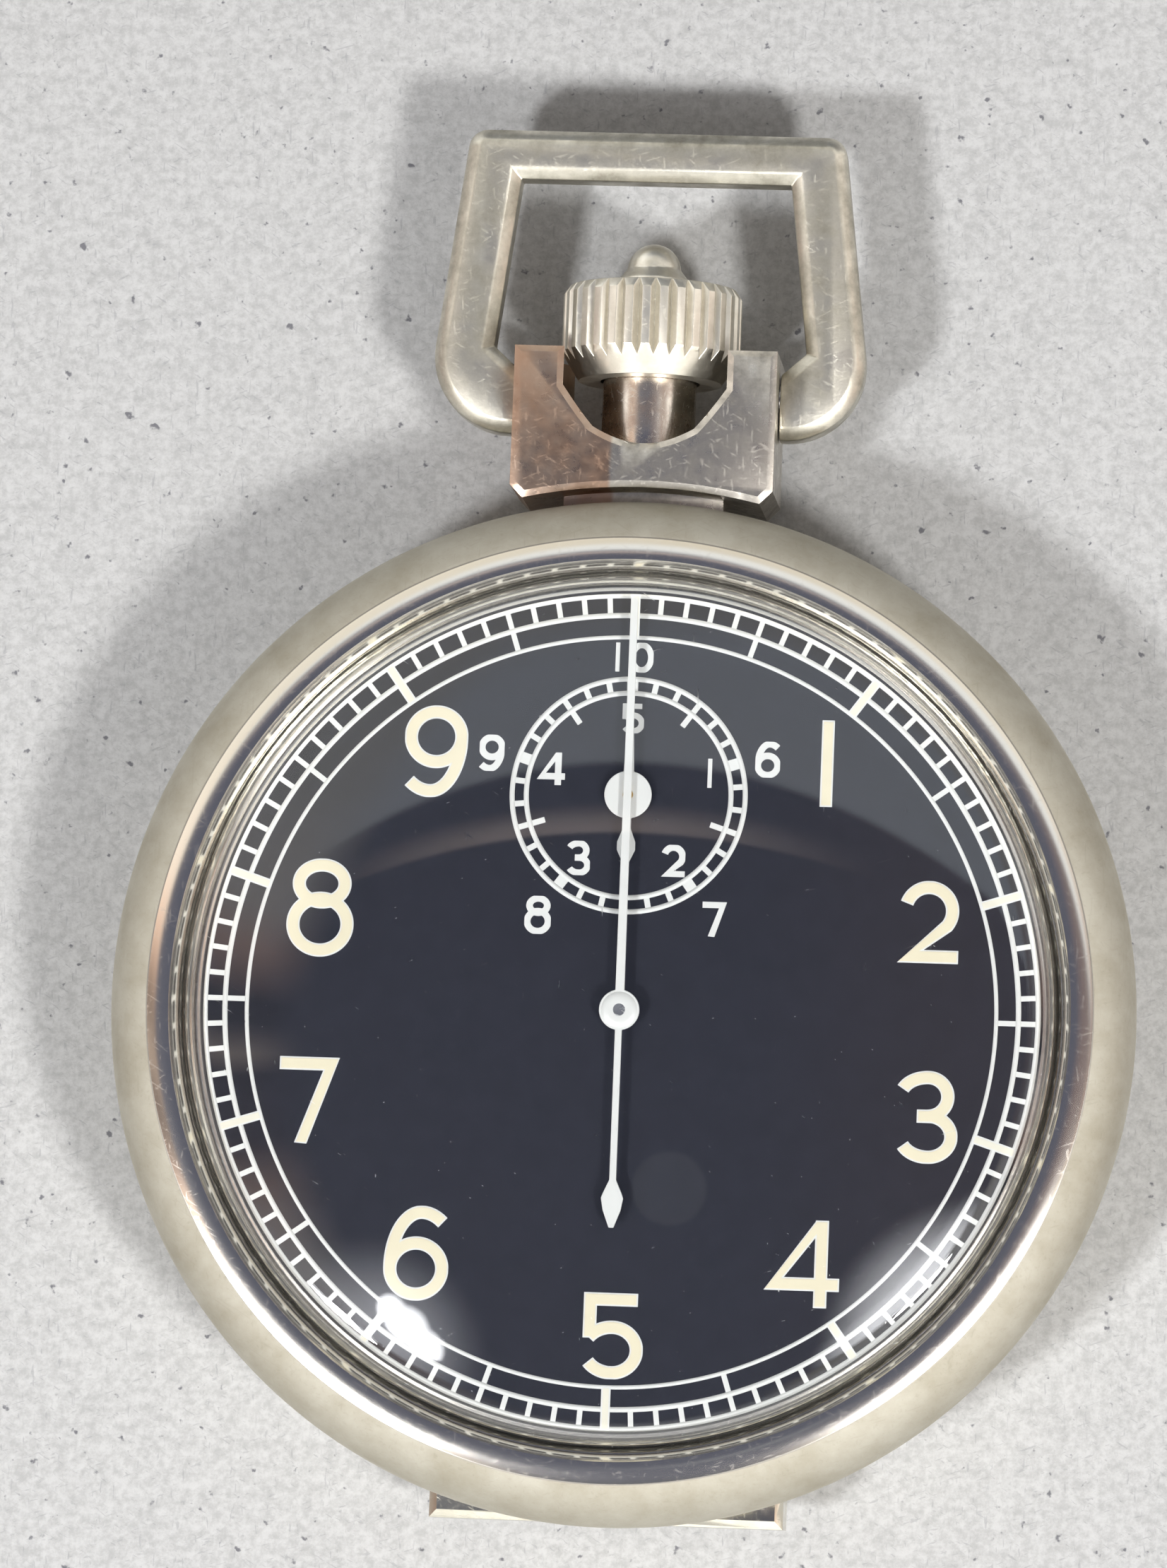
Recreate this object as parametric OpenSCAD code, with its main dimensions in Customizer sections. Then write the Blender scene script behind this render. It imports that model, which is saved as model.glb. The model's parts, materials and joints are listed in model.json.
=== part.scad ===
// Pocket stopwatch, lying on its back: +Z out of the dial, +Y towards the crown.
// The origin is the centre of the flat of the back. All sizes are in millimetres.

/* [Case] */
// Radial distance from the main plate to the outside of the bezel
case_wall = 3.9; // [3.8:0.05:4.4]
// Diameter of the flat that the watch lies on
rest_d = 34; // [28:1:36]
// Thickness of the back cover
back_t = 0.9; // [0.8:0.05:1.1]
// Height of the joint between the back cover and the case middle
back_joint_z = 3.2; // [3:0.05:3.3]
// Height of the band of the case middle between back and bezel
band_h = 3.8; // [3.7:0.05:4]
// Depth of the band of the case middle behind the bezel's outside
band_inset = 0.3; // [0.2:0.05:0.5]
// Radial width of the ledge that the main plate sits on
ledge_w = 0.7; // [0.5:0.05:0.8]
// Radial wall of the threaded necks of the case middle
neck_wall = 1.55; // [1.4:0.05:1.6]
// Half the width of the flat foot at 6 o'clock
foot_half_w = 8.8; // [7:0.1:9]
// Distance of the flat foot inside the outside of the bezel
foot_inset = 0.25; // [0.1:0.05:0.4]
// Radial clearance of the screwed joints of the case
thread_gap = 0.05; // [0.03:0.01:0.1]

/* [Bezel and crystal] */
// Radial width of the rounded outer band of the bezel
bezel_band_w = 2.3; // [2.1:0.05:2.4]
// Radial width of the polished inner flank of the bezel
flank_w = 1.3; // [1.2:0.05:1.4]
// Height of the bezel's ridge above the dial
ridge_rise = 2; // [1.9:0.05:2.2]
// Depth of the polished flank below the ridge
flank_depth = 1.2; // [1.1:0.05:1.3]
// Height of the crystal's seat above the dial
seat_rise = 0.4; // [0.35:0.05:0.5]
// Thickness of the crystal
crystal_t = 1.1; // [1:0.05:1.2]
// Height of the top of the crystal above its seat
crystal_rise = 4.9; // [4.4:0.1:5.4]
// Height of the upright edge of the crystal
crystal_edge_h = 0.75; // [0.7:0.05:0.9]
// Radius of the shoulder between the crystal's edge and its dome
crystal_shoulder_r = 1.8; // [1.6:0.05:2]

/* [Dial and hands] */
// Radial distance from the edge of the dial to the edge of the main plate
dial_margin = 0.3; // [0.2:0.05:0.4]
// Thickness of the dial
dial_t = 0.4; // [0.3:0.05:0.5]
// Height of the register centre above the dial centre
register_y = 10.7; // [10.6:0.05:10.8]
// Length of the sweep hand from its centre to its point
sweep_l = 20.5; // [19:0.1:20.5]
// Length of the sweep hand's tail
sweep_tail_l = 10.75; // [9:0.1:12]
// Diameter of the sweep hand's boss
sweep_boss_d = 2; // [1.8:0.05:2.4]
// Width of the sweep hand
sweep_w = 0.45; // [0.35:0.05:0.6]
// Length of the register hand
register_l = 5.1; // [4.5:0.1:5.6]
// Length of the register hand's tail
register_tail_l = 3.5; // [3:0.1:4]
// Diameter of the register hand's boss
register_boss_d = 2.35; // [2:0.05:2.6]
// Thickness of each hand
hand_t = 0.14; // [0.1:0.02:0.18]
// Gap between the dial and the register hand, and between the hands
hand_gap = 0.3; // [0.25:0.05:0.35]

/* [Pendant, crown and bow] */
// Height of the winding stem above the table
stem_z = 5.5; // [5.4:0.05:5.6]
// Width of the pendant block
block_w = 13.15; // [12.8:0.05:13.6]
// Thickness of the pendant block
block_t = 7.2; // [7:0.1:7.6]
// Height of the top of the pendant block above the bezel
block_h = 7.7; // [7.5:0.1:7.9]
// Gap between the pendant block and the bezel
block_gap = 0.7; // [0.5:0.05:0.8]
// Diameter of the pendant sleeve
sleeve_d = 4.7; // [4.5:0.05:4.8]
// Diameter of the crown over its flutes
crown_d = 9; // [8.8:0.05:9.2]
// Number of flutes on the crown
crown_flutes = 32; // [28:1:36]
// Height of the underside of the crown above the floor of the notch
crown_rise = 3.5; // [3.4:0.05:3.6]
// Height of the crown
crown_h = 5.05; // [4.9:0.05:5.2]
// Height of the cone under the crown
crown_cone_h = 1.4; // [1.3:0.05:1.5]
// Travel of the crown when it is pushed
crown_travel = 1.2; // [1:0.05:1.2]
// Height of the pip on the crown
pip_h = 2; // [1.8:0.05:2.2]
// Diameter of the pip on the crown
pip_d = 2.7; // [2.5:0.05:3]
// Length of the bow from its pivot to its top
bow_l = 13.3; // [12.8:0.1:14.3]
// Distance of the bow's pivot below the top of the pendant block
bow_pivot_drop = 2; // [1.9:0.05:2.1]
// Thickness of the bow
bow_t = 2.4; // [2.2:0.05:2.6]
// Width of the bar at the top of the bow
bow_bar = 2.5; // [2.3:0.05:2.7]
// Width of each arm of the bow
bow_arm = 3; // [2.9:0.05:3.1]
// Outside width of the bow at its top
bow_top_w = 19.1; // [18.6:0.1:19.6]
// Outside width of the bow above its eyes
bow_low_w = 21.7; // [21.4:0.1:22]
// Bevel along the edges of the bow
bow_bevel = 0.5; // [0.4:0.05:0.55]
// Diameter of the pins that the bow turns on
bow_pin_d = 1.6; // [1.4:0.05:1.7]
// Side gap between the bow and the pendant block
bow_gap = 0.06; // [0.04:0.01:0.1]

/* [Movement] */
// Diameter of the main plate
plate_d = 43.2; // [43.1:0.05:43.3]
// Thickness of the main plate
plate_t = 1.4; // [1.3:0.05:1.5]
// Thickness of the bridges
bridge_t = 1; // [0.9:0.05:1.1]
// Room between the back cover and the bridges
bridge_gap = 0.8; // [0.75:0.05:0.9]
// Room between the bridges and the main plate
train_room = 3; // [3:0.05:3.1]
// Room between the main plate and the dial
dial_room = 1.7; // [1.7:0.05:1.8]
// Diameter of the jewels
jewel_d = 1.4; // [1.2:0.05:1.5]
// Thickness of the jewels
jewel_t = 0.5; // [0.4:0.05:0.55]
// Diameter of the pivots
pivot_d = 0.28; // [0.24:0.01:0.32]
// Running clearance of the pivots and shafts, on the radius
run_gap = 0.02; // [0.01:0.005:0.03]

/* [Wheel teeth] */
// Teeth of the barrel
barrel_teeth = 84; // [84:84]
// Leaves of the second pinion
second_leaves = 12; // [12:12]
// Teeth of the second wheel
second_teeth = 72; // [72:72]
// Leaves of the third pinion
third_leaves = 9; // [9:9]
// Teeth of the third wheel
third_teeth = 70; // [70:70]
// Leaves of the sweep pinion
sweep_leaves = 7; // [7:7]
// Teeth of the sweep wheel
sweep_teeth = 80; // [80:80]
// Leaves of the escape pinion
escape_leaves = 6; // [6:6]
// Teeth of the escape wheel
escape_teeth = 15; // [15:15]

/* [Hidden] */
$fn = 72;

// Overshoot of a cut past the face that it opens
cut = 0.5;

// Heights of the movement, from the back cover up to the hands
bridge_z = back_t + bridge_gap;
train_z = bridge_z + bridge_t;
plate_z = train_z + train_room;
dial_side_z = plate_z + plate_t;
dial_z = dial_side_z + dial_room;
dial_top = dial_z + dial_t;
register_hand_z = dial_top + hand_gap;
sweep_hand_z = register_hand_z + hand_t + hand_gap;

// Radii and heights of the case
plate_r = plate_d / 2;
dial_r = plate_r - dial_margin;
case_r = plate_r + case_wall;
case_d = 2 * case_r;
foot_y = case_r - foot_inset;
band_top = back_joint_z + band_h;
band_r = case_r - band_inset;
bore_r = plate_r + thread_gap;
neck_r = bore_r + neck_wall;
ledge_r = plate_r - ledge_w;
ledge_h = 0.8;
neck_depth = 1.25;
neck_top = dial_z - 0.25;

// Feet of the dial
dial_foot_angles = [45, 165, 285];
dial_foot_at = plate_r - 2.4;
dial_foot_l = dial_room + 0.9;

// Heights of the bezel and the crystal
ridge_z = dial_top + ridge_rise;
seat_z = dial_top + seat_rise;
ridge_r = case_r - bezel_band_w;
flank_r = ridge_r - flank_w;
crystal_r = flank_r - thread_gap;
seat_r = dial_r - 0.3;
crystal_top = seat_z + crystal_rise;
crystal_edge_z = seat_z + crystal_edge_h;
crystal_arc_n = 10;

// Pendant and crown
block_r = case_r + block_gap;
block_top_y = case_r + block_h;
block_corner = 0.8;
block_neck_w = 8;
block_neck_t = 2.8;
block_seat_r = band_r - 0.6;
notch_r = crown_d / 2 + 0.95;
notch_mid_r = notch_r - 1.05;
notch_side_y = block_top_y - 1.95;
notch_mid_y = block_top_y - 4;
notch_floor_y = block_top_y - 4.8;
crown_y = notch_floor_y + crown_rise;
sleeve_r = sleeve_d / 2;
sleeve_top = crown_y + 0.5;
sleeve_end = notch_floor_y - 1.5;
stem_r = 0.75;
stem_hole_r = stem_r + 0.1;
stem_square = 1;
pinion_y = plate_r - 4.7;
stem_end_y = pinion_y - 3.15;
stem_pilot_r = 0.35;
stem_pilot_l = 1;
crown_r = crown_d / 2;
crown_root = crown_r - 0.35;
crown_top = crown_y + crown_h;
crown_cone_r = crown_r - 0.9;
crown_bore_r = sleeve_r + 0.15;
crown_bore_l = crown_travel + 1.1;

// Bow
bow_pivot_y = block_top_y - bow_pivot_drop;
bow_top_y = bow_pivot_y + bow_l;
bow_inner_top = bow_top_w / 2 - bow_arm + 0.25;
bow_inner_low = bow_low_w / 2 - bow_arm;
bow_inner_y = bow_pivot_y + 2.3;
bow_inner_drop = 1.1;
bow_eye_r = 3.9;
bow_eye = [bow_low_w / 2 - bow_eye_r, bow_pivot_y + 1.8];
bow_corner_r = 1;
bow_shoulder = [bow_top_w / 2 - bow_corner_r, bow_top_y - bow_corner_r];
bow_lean = outer_tangent(bow_shoulder, bow_corner_r, bow_eye, bow_eye_r);
bow_foot_x = block_w / 2 + bow_gap;
bow_pin_r = bow_pin_d / 2;
bow_pin_in = 0.9;
bow_pin_out = 2.4;

// Modules of the teeth, which set the distances between the arbors
barrel_m = 0.2;
second_m = 0.16;
third_m = 0.13;
sweep_m = 0.11;
register_m = 0.2;
winding_m = 0.3;
keyless_m = 0.3167;
driving_leaves = 8;
intermediate_teeth = 48;
intermediate_leaves = 10;
register_teeth = 50;
winding_leaves = 12;
contrate_teeth = 24;
crown_wheel_teeth = 32;
ratchet_teeth = 42;
tooth_tip = 0.85;
tooth_root = 1.1;
half_root = 0.33;
half_tip = 0.13;

function dir(a) = [cos(a), sin(a)];
function arc(c, r, a0, a1, n) = [for (i = [0:n]) c + r * dir(a0 + (a1 - a0) * i / n)];
function pitch_r(teeth, m) = teeth * m / 2;
function tip_r(teeth, m) = m * (teeth / 2 + tooth_tip);
function root_r(teeth, m) = m * (teeth / 2 - tooth_root);
function reach(teeth_a, teeth_b, m) = pitch_r(teeth_a, m) + pitch_r(teeth_b, m);
function heading(p, q) = atan2(q.y - p.y, q.x - p.x);

// Direction from each centre to where the line along the outside of two circles touches it
function outer_tangent(p, rp, q, rq) = heading(p, q) + acos((rp - rq) / norm(q - p));

// Outline of a wheel whose teeth have straight flanks
function tooth(teeth, m, a) = let (root = root_r(teeth, m), tip = tip_r(teeth, m), step = 360 / teeth)
    [root * dir(a - half_root * step), tip * dir(a - half_tip * step),
     tip * dir(a + half_tip * step), root * dir(a + half_root * step)];
function wheel_outline(teeth, m, phase) =
    [for (i = [0:teeth - 1]) each tooth(teeth, m, phase + i * 360 / teeth)];

// Phase of wheel b so that it meshes with wheel a, where a points along heading h to b
function mesh_phase(teeth_a, phase_a, teeth_b, h) =
    h + 180 + ((h - phase_a) * teeth_a / 360 + 0.5) * 360 / teeth_b;

// Point where a circle about p and one about q cross, on the right hand of the way from p to q
function crossing(p, rp, q, rq) =
    let (d = norm(q - p), along = (rp * rp - rq * rq + d * d) / (2 * d),
         side = sqrt(rp * rp - along * along), u = (q - p) / d)
    p + along * u + side * [u.y, -u.x];

// Places of the arbors
centre_p = [0, 0];
keyless_r = pitch_r(winding_leaves, keyless_m);
contrate_r = pitch_r(contrate_teeth, keyless_m);
crown_wheel_p = [0, pinion_y - contrate_r];
ratchet_heading = 211;
barrel_p = crown_wheel_p + reach(crown_wheel_teeth, ratchet_teeth, winding_m) * dir(ratchet_heading);
second_heading = -76;
second_p = barrel_p + reach(barrel_teeth, second_leaves, barrel_m) * dir(second_heading);
third_p = crossing(second_p, reach(second_teeth, third_leaves, second_m),
    centre_p, reach(third_teeth, sweep_leaves, third_m));
escape_heading = -35;
escape_p = reach(sweep_teeth, escape_leaves, sweep_m) * dir(escape_heading);
lever_heading = -50;
pallet_p = escape_p + 3 * dir(lever_heading);
balance_p = pallet_p + 3.7 * dir(lever_heading);
register_p = [0, register_y];
intermediate_p = crossing(centre_p, reach(driving_leaves, intermediate_teeth, register_m),
    register_p, reach(intermediate_leaves, register_teeth, register_m));
operating_p = [6.5, 14.5];
operating_end = [11.9, 11.9];
column_p = [12.2, 8.6];
hammer_p = [8.2, -6.2];
brake_p = [15.2, 1.8];
hammer_knee = [7.4, 0.4];
hammer_top = [4.6, 10.9];
click_p = barrel_p + 8.2 * dir(75);
click_tail = click_p + [-0.3, 2.1];

// Phases of the wheels in mesh
second_pinion_phase = mesh_phase(barrel_teeth, 0, second_leaves, second_heading);
third_pinion_phase = mesh_phase(second_teeth, 0, third_leaves, heading(second_p, third_p));
sweep_pinion_phase = mesh_phase(third_teeth, 0, sweep_leaves, heading(third_p, centre_p));
escape_pinion_phase = mesh_phase(sweep_teeth, 0, escape_leaves, escape_heading);
intermediate_phase = mesh_phase(driving_leaves, 0, intermediate_teeth, heading(centre_p, intermediate_p));
register_phase = mesh_phase(intermediate_leaves, 0, register_teeth, heading(intermediate_p, register_p));
ratchet_phase = mesh_phase(crown_wheel_teeth, 0, ratchet_teeth, ratchet_heading);

// Heights of the wheels
wheel_t = 0.22;
winding_z = train_z + 0.05;
winding_t = 0.5;
sweep_wheel_z = train_z + 0.72;
barrel_z = train_z + 1.25;
barrel_h = 1.35;
barrel_tooth_t = 0.5;
third_wheel_z = train_z + 1.88;
second_wheel_z = plate_z - 0.32;
escape_wheel_z = plate_z - 0.68;
balance_z = train_z + 0.6;
balance_t = 0.5;
roller_z = balance_z + balance_t + 0.25;
fork_z = plate_z - 0.95;
fork_t = 0.25;
pallet_bridge_z = balance_z + balance_t + 0.2;
pallet_bridge_t = 0.4;
hairspring_z = train_z + 0.2;
hairspring_t = 0.15;
intermediate_z = dial_side_z + 0.25;
register_wheel_z = dial_side_z + 0.75;
heart_t = 0.3;
sweep_heart_z = dial_side_z + 0.95;
register_heart_z = dial_side_z + 1.15;
hammer_z = dial_side_z + 1;
hammer_t = 0.5;
pivot_r = pivot_d / 2;
jewel_r = jewel_d / 2;
shake = 0.05;
pivot_l = jewel_t - 0.05;

// Turn a part drawn along Z so that it lies along Y on the stem's axis
module on_stem() {
    translate([0, 0, stem_z]) rotate([-90, 0, 0]) children();
}

module at(p, z) {
    translate([p.x, p.y, z]) children();
}

module ring(z, h, outer, inner) {
    translate([0, 0, z]) linear_extrude(h) difference() {
        circle(outer);
        circle(inner);
    }
}

// Flat bar with round ends
module link(p, q, w) {
    n = [q.y - p.y, p.x - q.x] / norm(q - p) * w / 2;
    translate(p) circle(w / 2);
    translate(q) circle(w / 2);
    polygon([p + n, q + n, q - n, p - n]);
}

// Flat wheel with spokes
module spoked_wheel(teeth, m, phase, t, spokes, rim_w, hub_r, shaft_r) {
    inner = root_r(teeth, m) - rim_w;
    linear_extrude(t) difference() {
        polygon(wheel_outline(teeth, m, phase));
        difference() {
            circle(inner);
            circle(hub_r);
            for (i = [0:spokes - 1]) rotate(i * 360 / spokes) translate([0, -hub_r / 3]) square([inner, hub_r / 1.5]);
        }
        circle(shaft_r);
    }
}

// Arbor that runs in the jewels of a bridge and of the main plate
module jewelled_arbor(shaft_r, low, high) {
    translate([0, 0, low + shake]) cylinder(h = high - low - 2 * shake, r = shaft_r);
    translate([0, 0, low - pivot_l]) cylinder(h = high - low + 2 * pivot_l, r = pivot_r);
}

// Flat spiral strip from radius r0 to r1
function spiral(r0, r1, turns, n) =
    [for (i = [0:n]) (r0 + (r1 - r0) * i / n) * dir(360 * turns * i / n)];
module spiral_strip(r0, r1, turns, w, h) {
    n = turns * 28;
    inner = spiral(r0 - w / 2, r1 - w / 2, turns, n);
    outer = spiral(r0 + w / 2, r1 + w / 2, turns, n);
    linear_extrude(h) polygon(concat(outer, [for (i = [n:-1:0]) inner[i]]));
}

module back_cover() {
    rim_r = band_r - 0.35;
    rise = back_joint_z - 0.35;
    wall = neck_r + thread_gap;
    color("silver") rotate_extrude() polygon(concat(
        [[0, 0]],
        [for (a = [0:10:90]) [rest_d / 2 + (rim_r - rest_d / 2) * sin(a), rise * (1 - cos(a))]],
        [[rim_r, back_joint_z], [wall, back_joint_z], [wall, back_joint_z - neck_depth - 0.1],
         [rest_d / 2, back_t], [0, back_t]]));
}

module case_middle() {
    low = back_joint_z - neck_depth;
    color("silver") difference() {
        union() {
            rotate_extrude() polygon(concat(
                [[neck_r, low], [neck_r, back_joint_z]],
                [for (a = [-60:20:60]) [band_r - 0.3 + 0.3 * (cos(a) - 0.5) / 0.5,
                    back_joint_z + band_h / 2 + band_h / 2 * sin(a) / sin(60)]],
                [[neck_r, band_top], [neck_r, neck_top], [bore_r, neck_top], [bore_r, plate_z],
                 [ledge_r, plate_z], [ledge_r, plate_z - ledge_h], [bore_r, plate_z - ledge_h],
                 [bore_r, low]]));
            case_foot();
        }
        on_stem() translate([0, 0, ledge_r - cut]) cylinder(h = case_r, r = stem_hole_r);
        difference() {
            translate([-block_neck_w / 2, 0, stem_z - block_neck_t / 2])
                cube([block_neck_w, case_d, block_neck_t]);
            cylinder(h = band_top, r = block_seat_r);
        }
    }
}

// Flat foot at 6 o'clock, with square ends that stand out past the bezel
module case_foot() {
    inset = 0.15;
    bevel = 0.4 * sqrt(2);
    top = band_top - inset;
    difference() {
        translate([-foot_half_w, -foot_y, back_joint_z + inset])
            cube([2 * foot_half_w, foot_y - neck_r + 4, band_h - 2 * inset]);
        cylinder(h = band_top, r = band_r - 1);
        translate([0, -foot_y, top]) rotate([45, 0, 0]) cube([case_d, bevel, bevel], center = true);
        for (side = [-1, 1]) translate([side * foot_half_w, -foot_y, top])
            rotate([0, 45, 0]) cube([bevel, case_r, bevel], center = true);
    }
}

module bezel() {
    arc_n = 14;
    round_z = band_top + 1.3;
    round_h = ridge_z - round_z;
    start = -asin((round_z - band_top) / round_h);
    wall = neck_r + thread_gap;
    color("tan") rotate_extrude() polygon(concat(
        [for (i = [0:arc_n]) let (a = start + (90 - start) * i / arc_n)
            [ridge_r + bezel_band_w * cos(a), round_z + round_h * sin(a)]],
        [[flank_r, ridge_z - flank_depth], [flank_r, seat_z], [seat_r, seat_z],
         [seat_r, dial_top + thread_gap], [dial_r + 0.35, dial_top + thread_gap],
         [dial_r + 0.35, neck_top + 0.2], [wall, neck_top + 0.2], [wall, band_top]]));
}

// Half profile of a dome: an upright edge, a round shoulder and a shallow sphere
function dome_profile(edge_r, edge_z, top, shoulder) =
    let (c = edge_r - shoulder, h = top - edge_z,
         sphere = (c * c + h * h - shoulder * shoulder) / (2 * (h - shoulder)),
         lean = asin(c / (sphere - shoulder)))
    concat(arc([c, edge_z], shoulder, 0, 90 - lean, crystal_arc_n),
           arc([0, top - sphere], sphere, 90 - lean, 90, crystal_arc_n));

module crystal() {
    outer = dome_profile(crystal_r, crystal_edge_z, crystal_top, crystal_shoulder_r);
    inner = dome_profile(crystal_r - crystal_t, crystal_edge_z, crystal_top - crystal_t,
        crystal_shoulder_r - crystal_t);
    n = len(inner) - 1;
    color("lightcyan", 0.4) rotate_extrude() polygon(concat(
        [[crystal_r - crystal_t, seat_z], [crystal_r, seat_z]], outer,
        [for (i = [n:-1:0]) inner[i]]));
}

// Block that carries the bow and the crown, notched round the crown
module pendant_block() {
    low = neck_r;
    color("gainsboro") difference() {
        translate([-block_w / 2, low, stem_z - block_t / 2])
            cube([block_w, block_top_y - low, block_t]);
        difference() {
            cylinder(h = 3 * block_t, r = block_r, center = true);
            translate([-block_neck_w / 2, 0, stem_z - block_neck_t / 2])
                cube([block_neck_w, case_d, block_neck_t]);
        }
        cylinder(h = 3 * block_t, r = block_seat_r, center = true);
        for (side = [-1, 1]) translate([side * block_w / 2, low_corner_y(), stem_z])
            rotate(45) cube([block_corner * sqrt(2), block_corner * sqrt(2), 2 * block_t], center = true);
        on_stem() rotate_extrude() polygon([[0, block_top_y + cut], [notch_r, block_top_y + cut],
            [notch_r, notch_side_y], [notch_mid_r, notch_mid_y], [block_t / 2, notch_floor_y],
            [sleeve_r, notch_floor_y], [sleeve_r, sleeve_end], [stem_hole_r, sleeve_end],
            [stem_hole_r, low - cut], [0, low - cut]]);
        for (side = [-1, 1]) translate([side * (block_w / 2 - bow_pin_in), bow_pivot_y, stem_z])
            rotate([0, side * 90, 0]) cylinder(h = bow_pin_in + cut, r = bow_pin_r);
    }
}

// Height at which the corner of the block meets the hollow that follows the case
function low_corner_y() = sqrt(block_r * block_r - block_w * block_w / 4);

module pendant_sleeve() {
    color("silver") on_stem() ring(sleeve_end, sleeve_top - sleeve_end, sleeve_r, stem_hole_r);
}

module bow_pins() {
    color("dimgray") for (side = [-1, 1])
        translate([side * (block_w / 2 - bow_pin_in), bow_pivot_y, stem_z])
            rotate([0, side * 90, 0]) cylinder(h = bow_pin_in + bow_gap + bow_pin_out, r = bow_pin_r);
}

// Bow without its bevels: a tapering loop between round shoulders and the round eyes
module bow_blank(lean_low, lean_top, inner_low, inner_top) {
    translate([0, 0, -bow_t / 2]) difference() {
        union() {
            linear_extrude(bow_t)
                polygon(both_sides([[bow_shoulder.x, bow_top_y], lean_top, lean_low, bow_eye]));
            for (side = [-1, 1]) translate([side * bow_shoulder.x, bow_shoulder.y, 0])
                cylinder(h = bow_t, r = bow_corner_r);
            for (side = [-1, 1]) translate([side * bow_eye.x, bow_eye.y, 0])
                cylinder(h = bow_t, r = bow_eye_r);
        }
        translate([0, 0, -cut]) linear_extrude(bow_t + 2 * cut) polygon(both_sides([inner_top, inner_low,
            [bow_foot_x, inner_low.y - bow_inner_drop], [bow_foot_x, bow_eye.y - bow_eye_r - cut]]));
    }
}

// Everything above a 45 degree slope that starts at the edge from p to q and rises to its left
module slope(p, q) {
    l = case_d;
    translate([p.x, p.y, bow_t / 2 - bow_bevel]) rotate(heading(p, q)) rotate([-45, 0, 0])
        translate([-l / 2, -l, -l / 2]) cube([l, l, l]);
}

// Bevel round a shoulder or an eye of the bow
module bow_round(c, r, from, to) {
    b = bow_bevel;
    translate([c.x, c.y, bow_t / 2]) rotate(from)
        rotate_extrude(angle = to - from) polygon([[r - b, 0], [r, b], [r + b, 0], [r, -b]]);
}

module bow() {
    lean_top = bow_shoulder + bow_corner_r * dir(bow_lean);
    lean_low = bow_eye + bow_eye_r * dir(bow_lean);
    inner_top = [bow_inner_top, bow_top_y - bow_bar];
    inner_low = [bow_inner_low, bow_inner_y];
    inner_end = [bow_foot_x, bow_inner_y - bow_inner_drop];
    hole_l = bow_pin_out + 0.15;
    color("tan") translate([0, 0, stem_z]) difference() {
        bow_blank(lean_low, lean_top, inner_low, inner_top);
        for (face = [0, 1]) mirror([0, 0, face]) {
            slope([bow_shoulder.x, bow_top_y], [-bow_shoulder.x, bow_top_y]);
            intersection() {
                slope([-inner_top.x, inner_top.y], inner_top);
                slope(inner_top, inner_low);
                slope(inner_low, inner_end);
                mirror([1, 0, 0]) slope(inner_top, inner_low);
                mirror([1, 0, 0]) slope(inner_low, inner_end);
            }
            for (side = [0, 1]) mirror([side, 0, 0]) {
                slope(lean_low, lean_top);
                bow_round(bow_shoulder, bow_corner_r, bow_lean, 90);
                bow_round(bow_eye, bow_eye_r, -100, bow_lean);
            }
        }
        for (side = [0, 1]) mirror([side, 0, 0])
            translate([bow_foot_x - cut, bow_pivot_y, 0]) rotate([0, 90, 0])
                cylinder(h = hole_l + cut, r = bow_pin_r + run_gap);
    }
}

// Fluted crown: the flutes run down the side and out on the cone
module crown() {
    step = 360 / crown_flutes;
    color("silver") on_stem() difference() {
        intersection() {
            rotate_extrude() polygon(concat(
                [[0, crown_y], [crown_cone_r, crown_y], [crown_r, crown_y + crown_cone_h]],
                [[crown_r, crown_top - 0.75], [crown_r - 0.3, crown_top - 0.3],
                 [crown_r / 2, crown_top - 0.05], [0, crown_top]]));
            translate([0, 0, crown_y - cut]) linear_extrude(crown_h + 2 * cut) polygon([
                for (i = [0:crown_flutes - 1]) each [crown_root * dir((i - 0.5) * step),
                    crown_r * dir((i - 0.24) * step), crown_r * dir((i + 0.24) * step)]]);
        }
        translate([0, 0, crown_y - cut]) cylinder(h = crown_bore_l + cut, r = crown_bore_r);
        cylinder(h = crown_top - 0.8, r = stem_r);
    }
}

module crown_pip() {
    pip_r = pip_d / 2;
    base_h = 0.7;
    dome_h = pip_h - base_h;
    dome_r = (pip_r * pip_r + dome_h * dome_h) / (2 * dome_h);
    color("silver") on_stem() rotate_extrude() polygon(concat(
        [[0, crown_top], [pip_r + 0.45, crown_top], [pip_r + 0.45, crown_top + 0.15], [pip_r, crown_top + base_h]],
        arc([0, crown_top + pip_h - dome_r], dome_r, acos(pip_r / dome_r), 90, 8)));
}

module winding_stem() {
    square_top = pinion_y + 0.5 + crown_travel + 0.2;
    color("gray") on_stem() {
        translate([0, 0, square_top]) cylinder(h = crown_top - 0.8 - square_top, r = stem_r);
        translate([-stem_square / 2, -stem_square / 2, stem_end_y + stem_pilot_l])
            cube([stem_square, stem_square, square_top - stem_end_y - stem_pilot_l]);
        translate([0, 0, stem_end_y]) cylinder(h = stem_pilot_l, r = stem_pilot_r);
    }
}

module winding_pinion() {
    hole = stem_square + 2 * run_gap;
    color("gray") on_stem() translate([0, 0, pinion_y - 0.5]) linear_extrude(1) difference() {
        polygon(wheel_outline(winding_leaves, keyless_m, 90));
        square(hole, center = true);
    }
}

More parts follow.
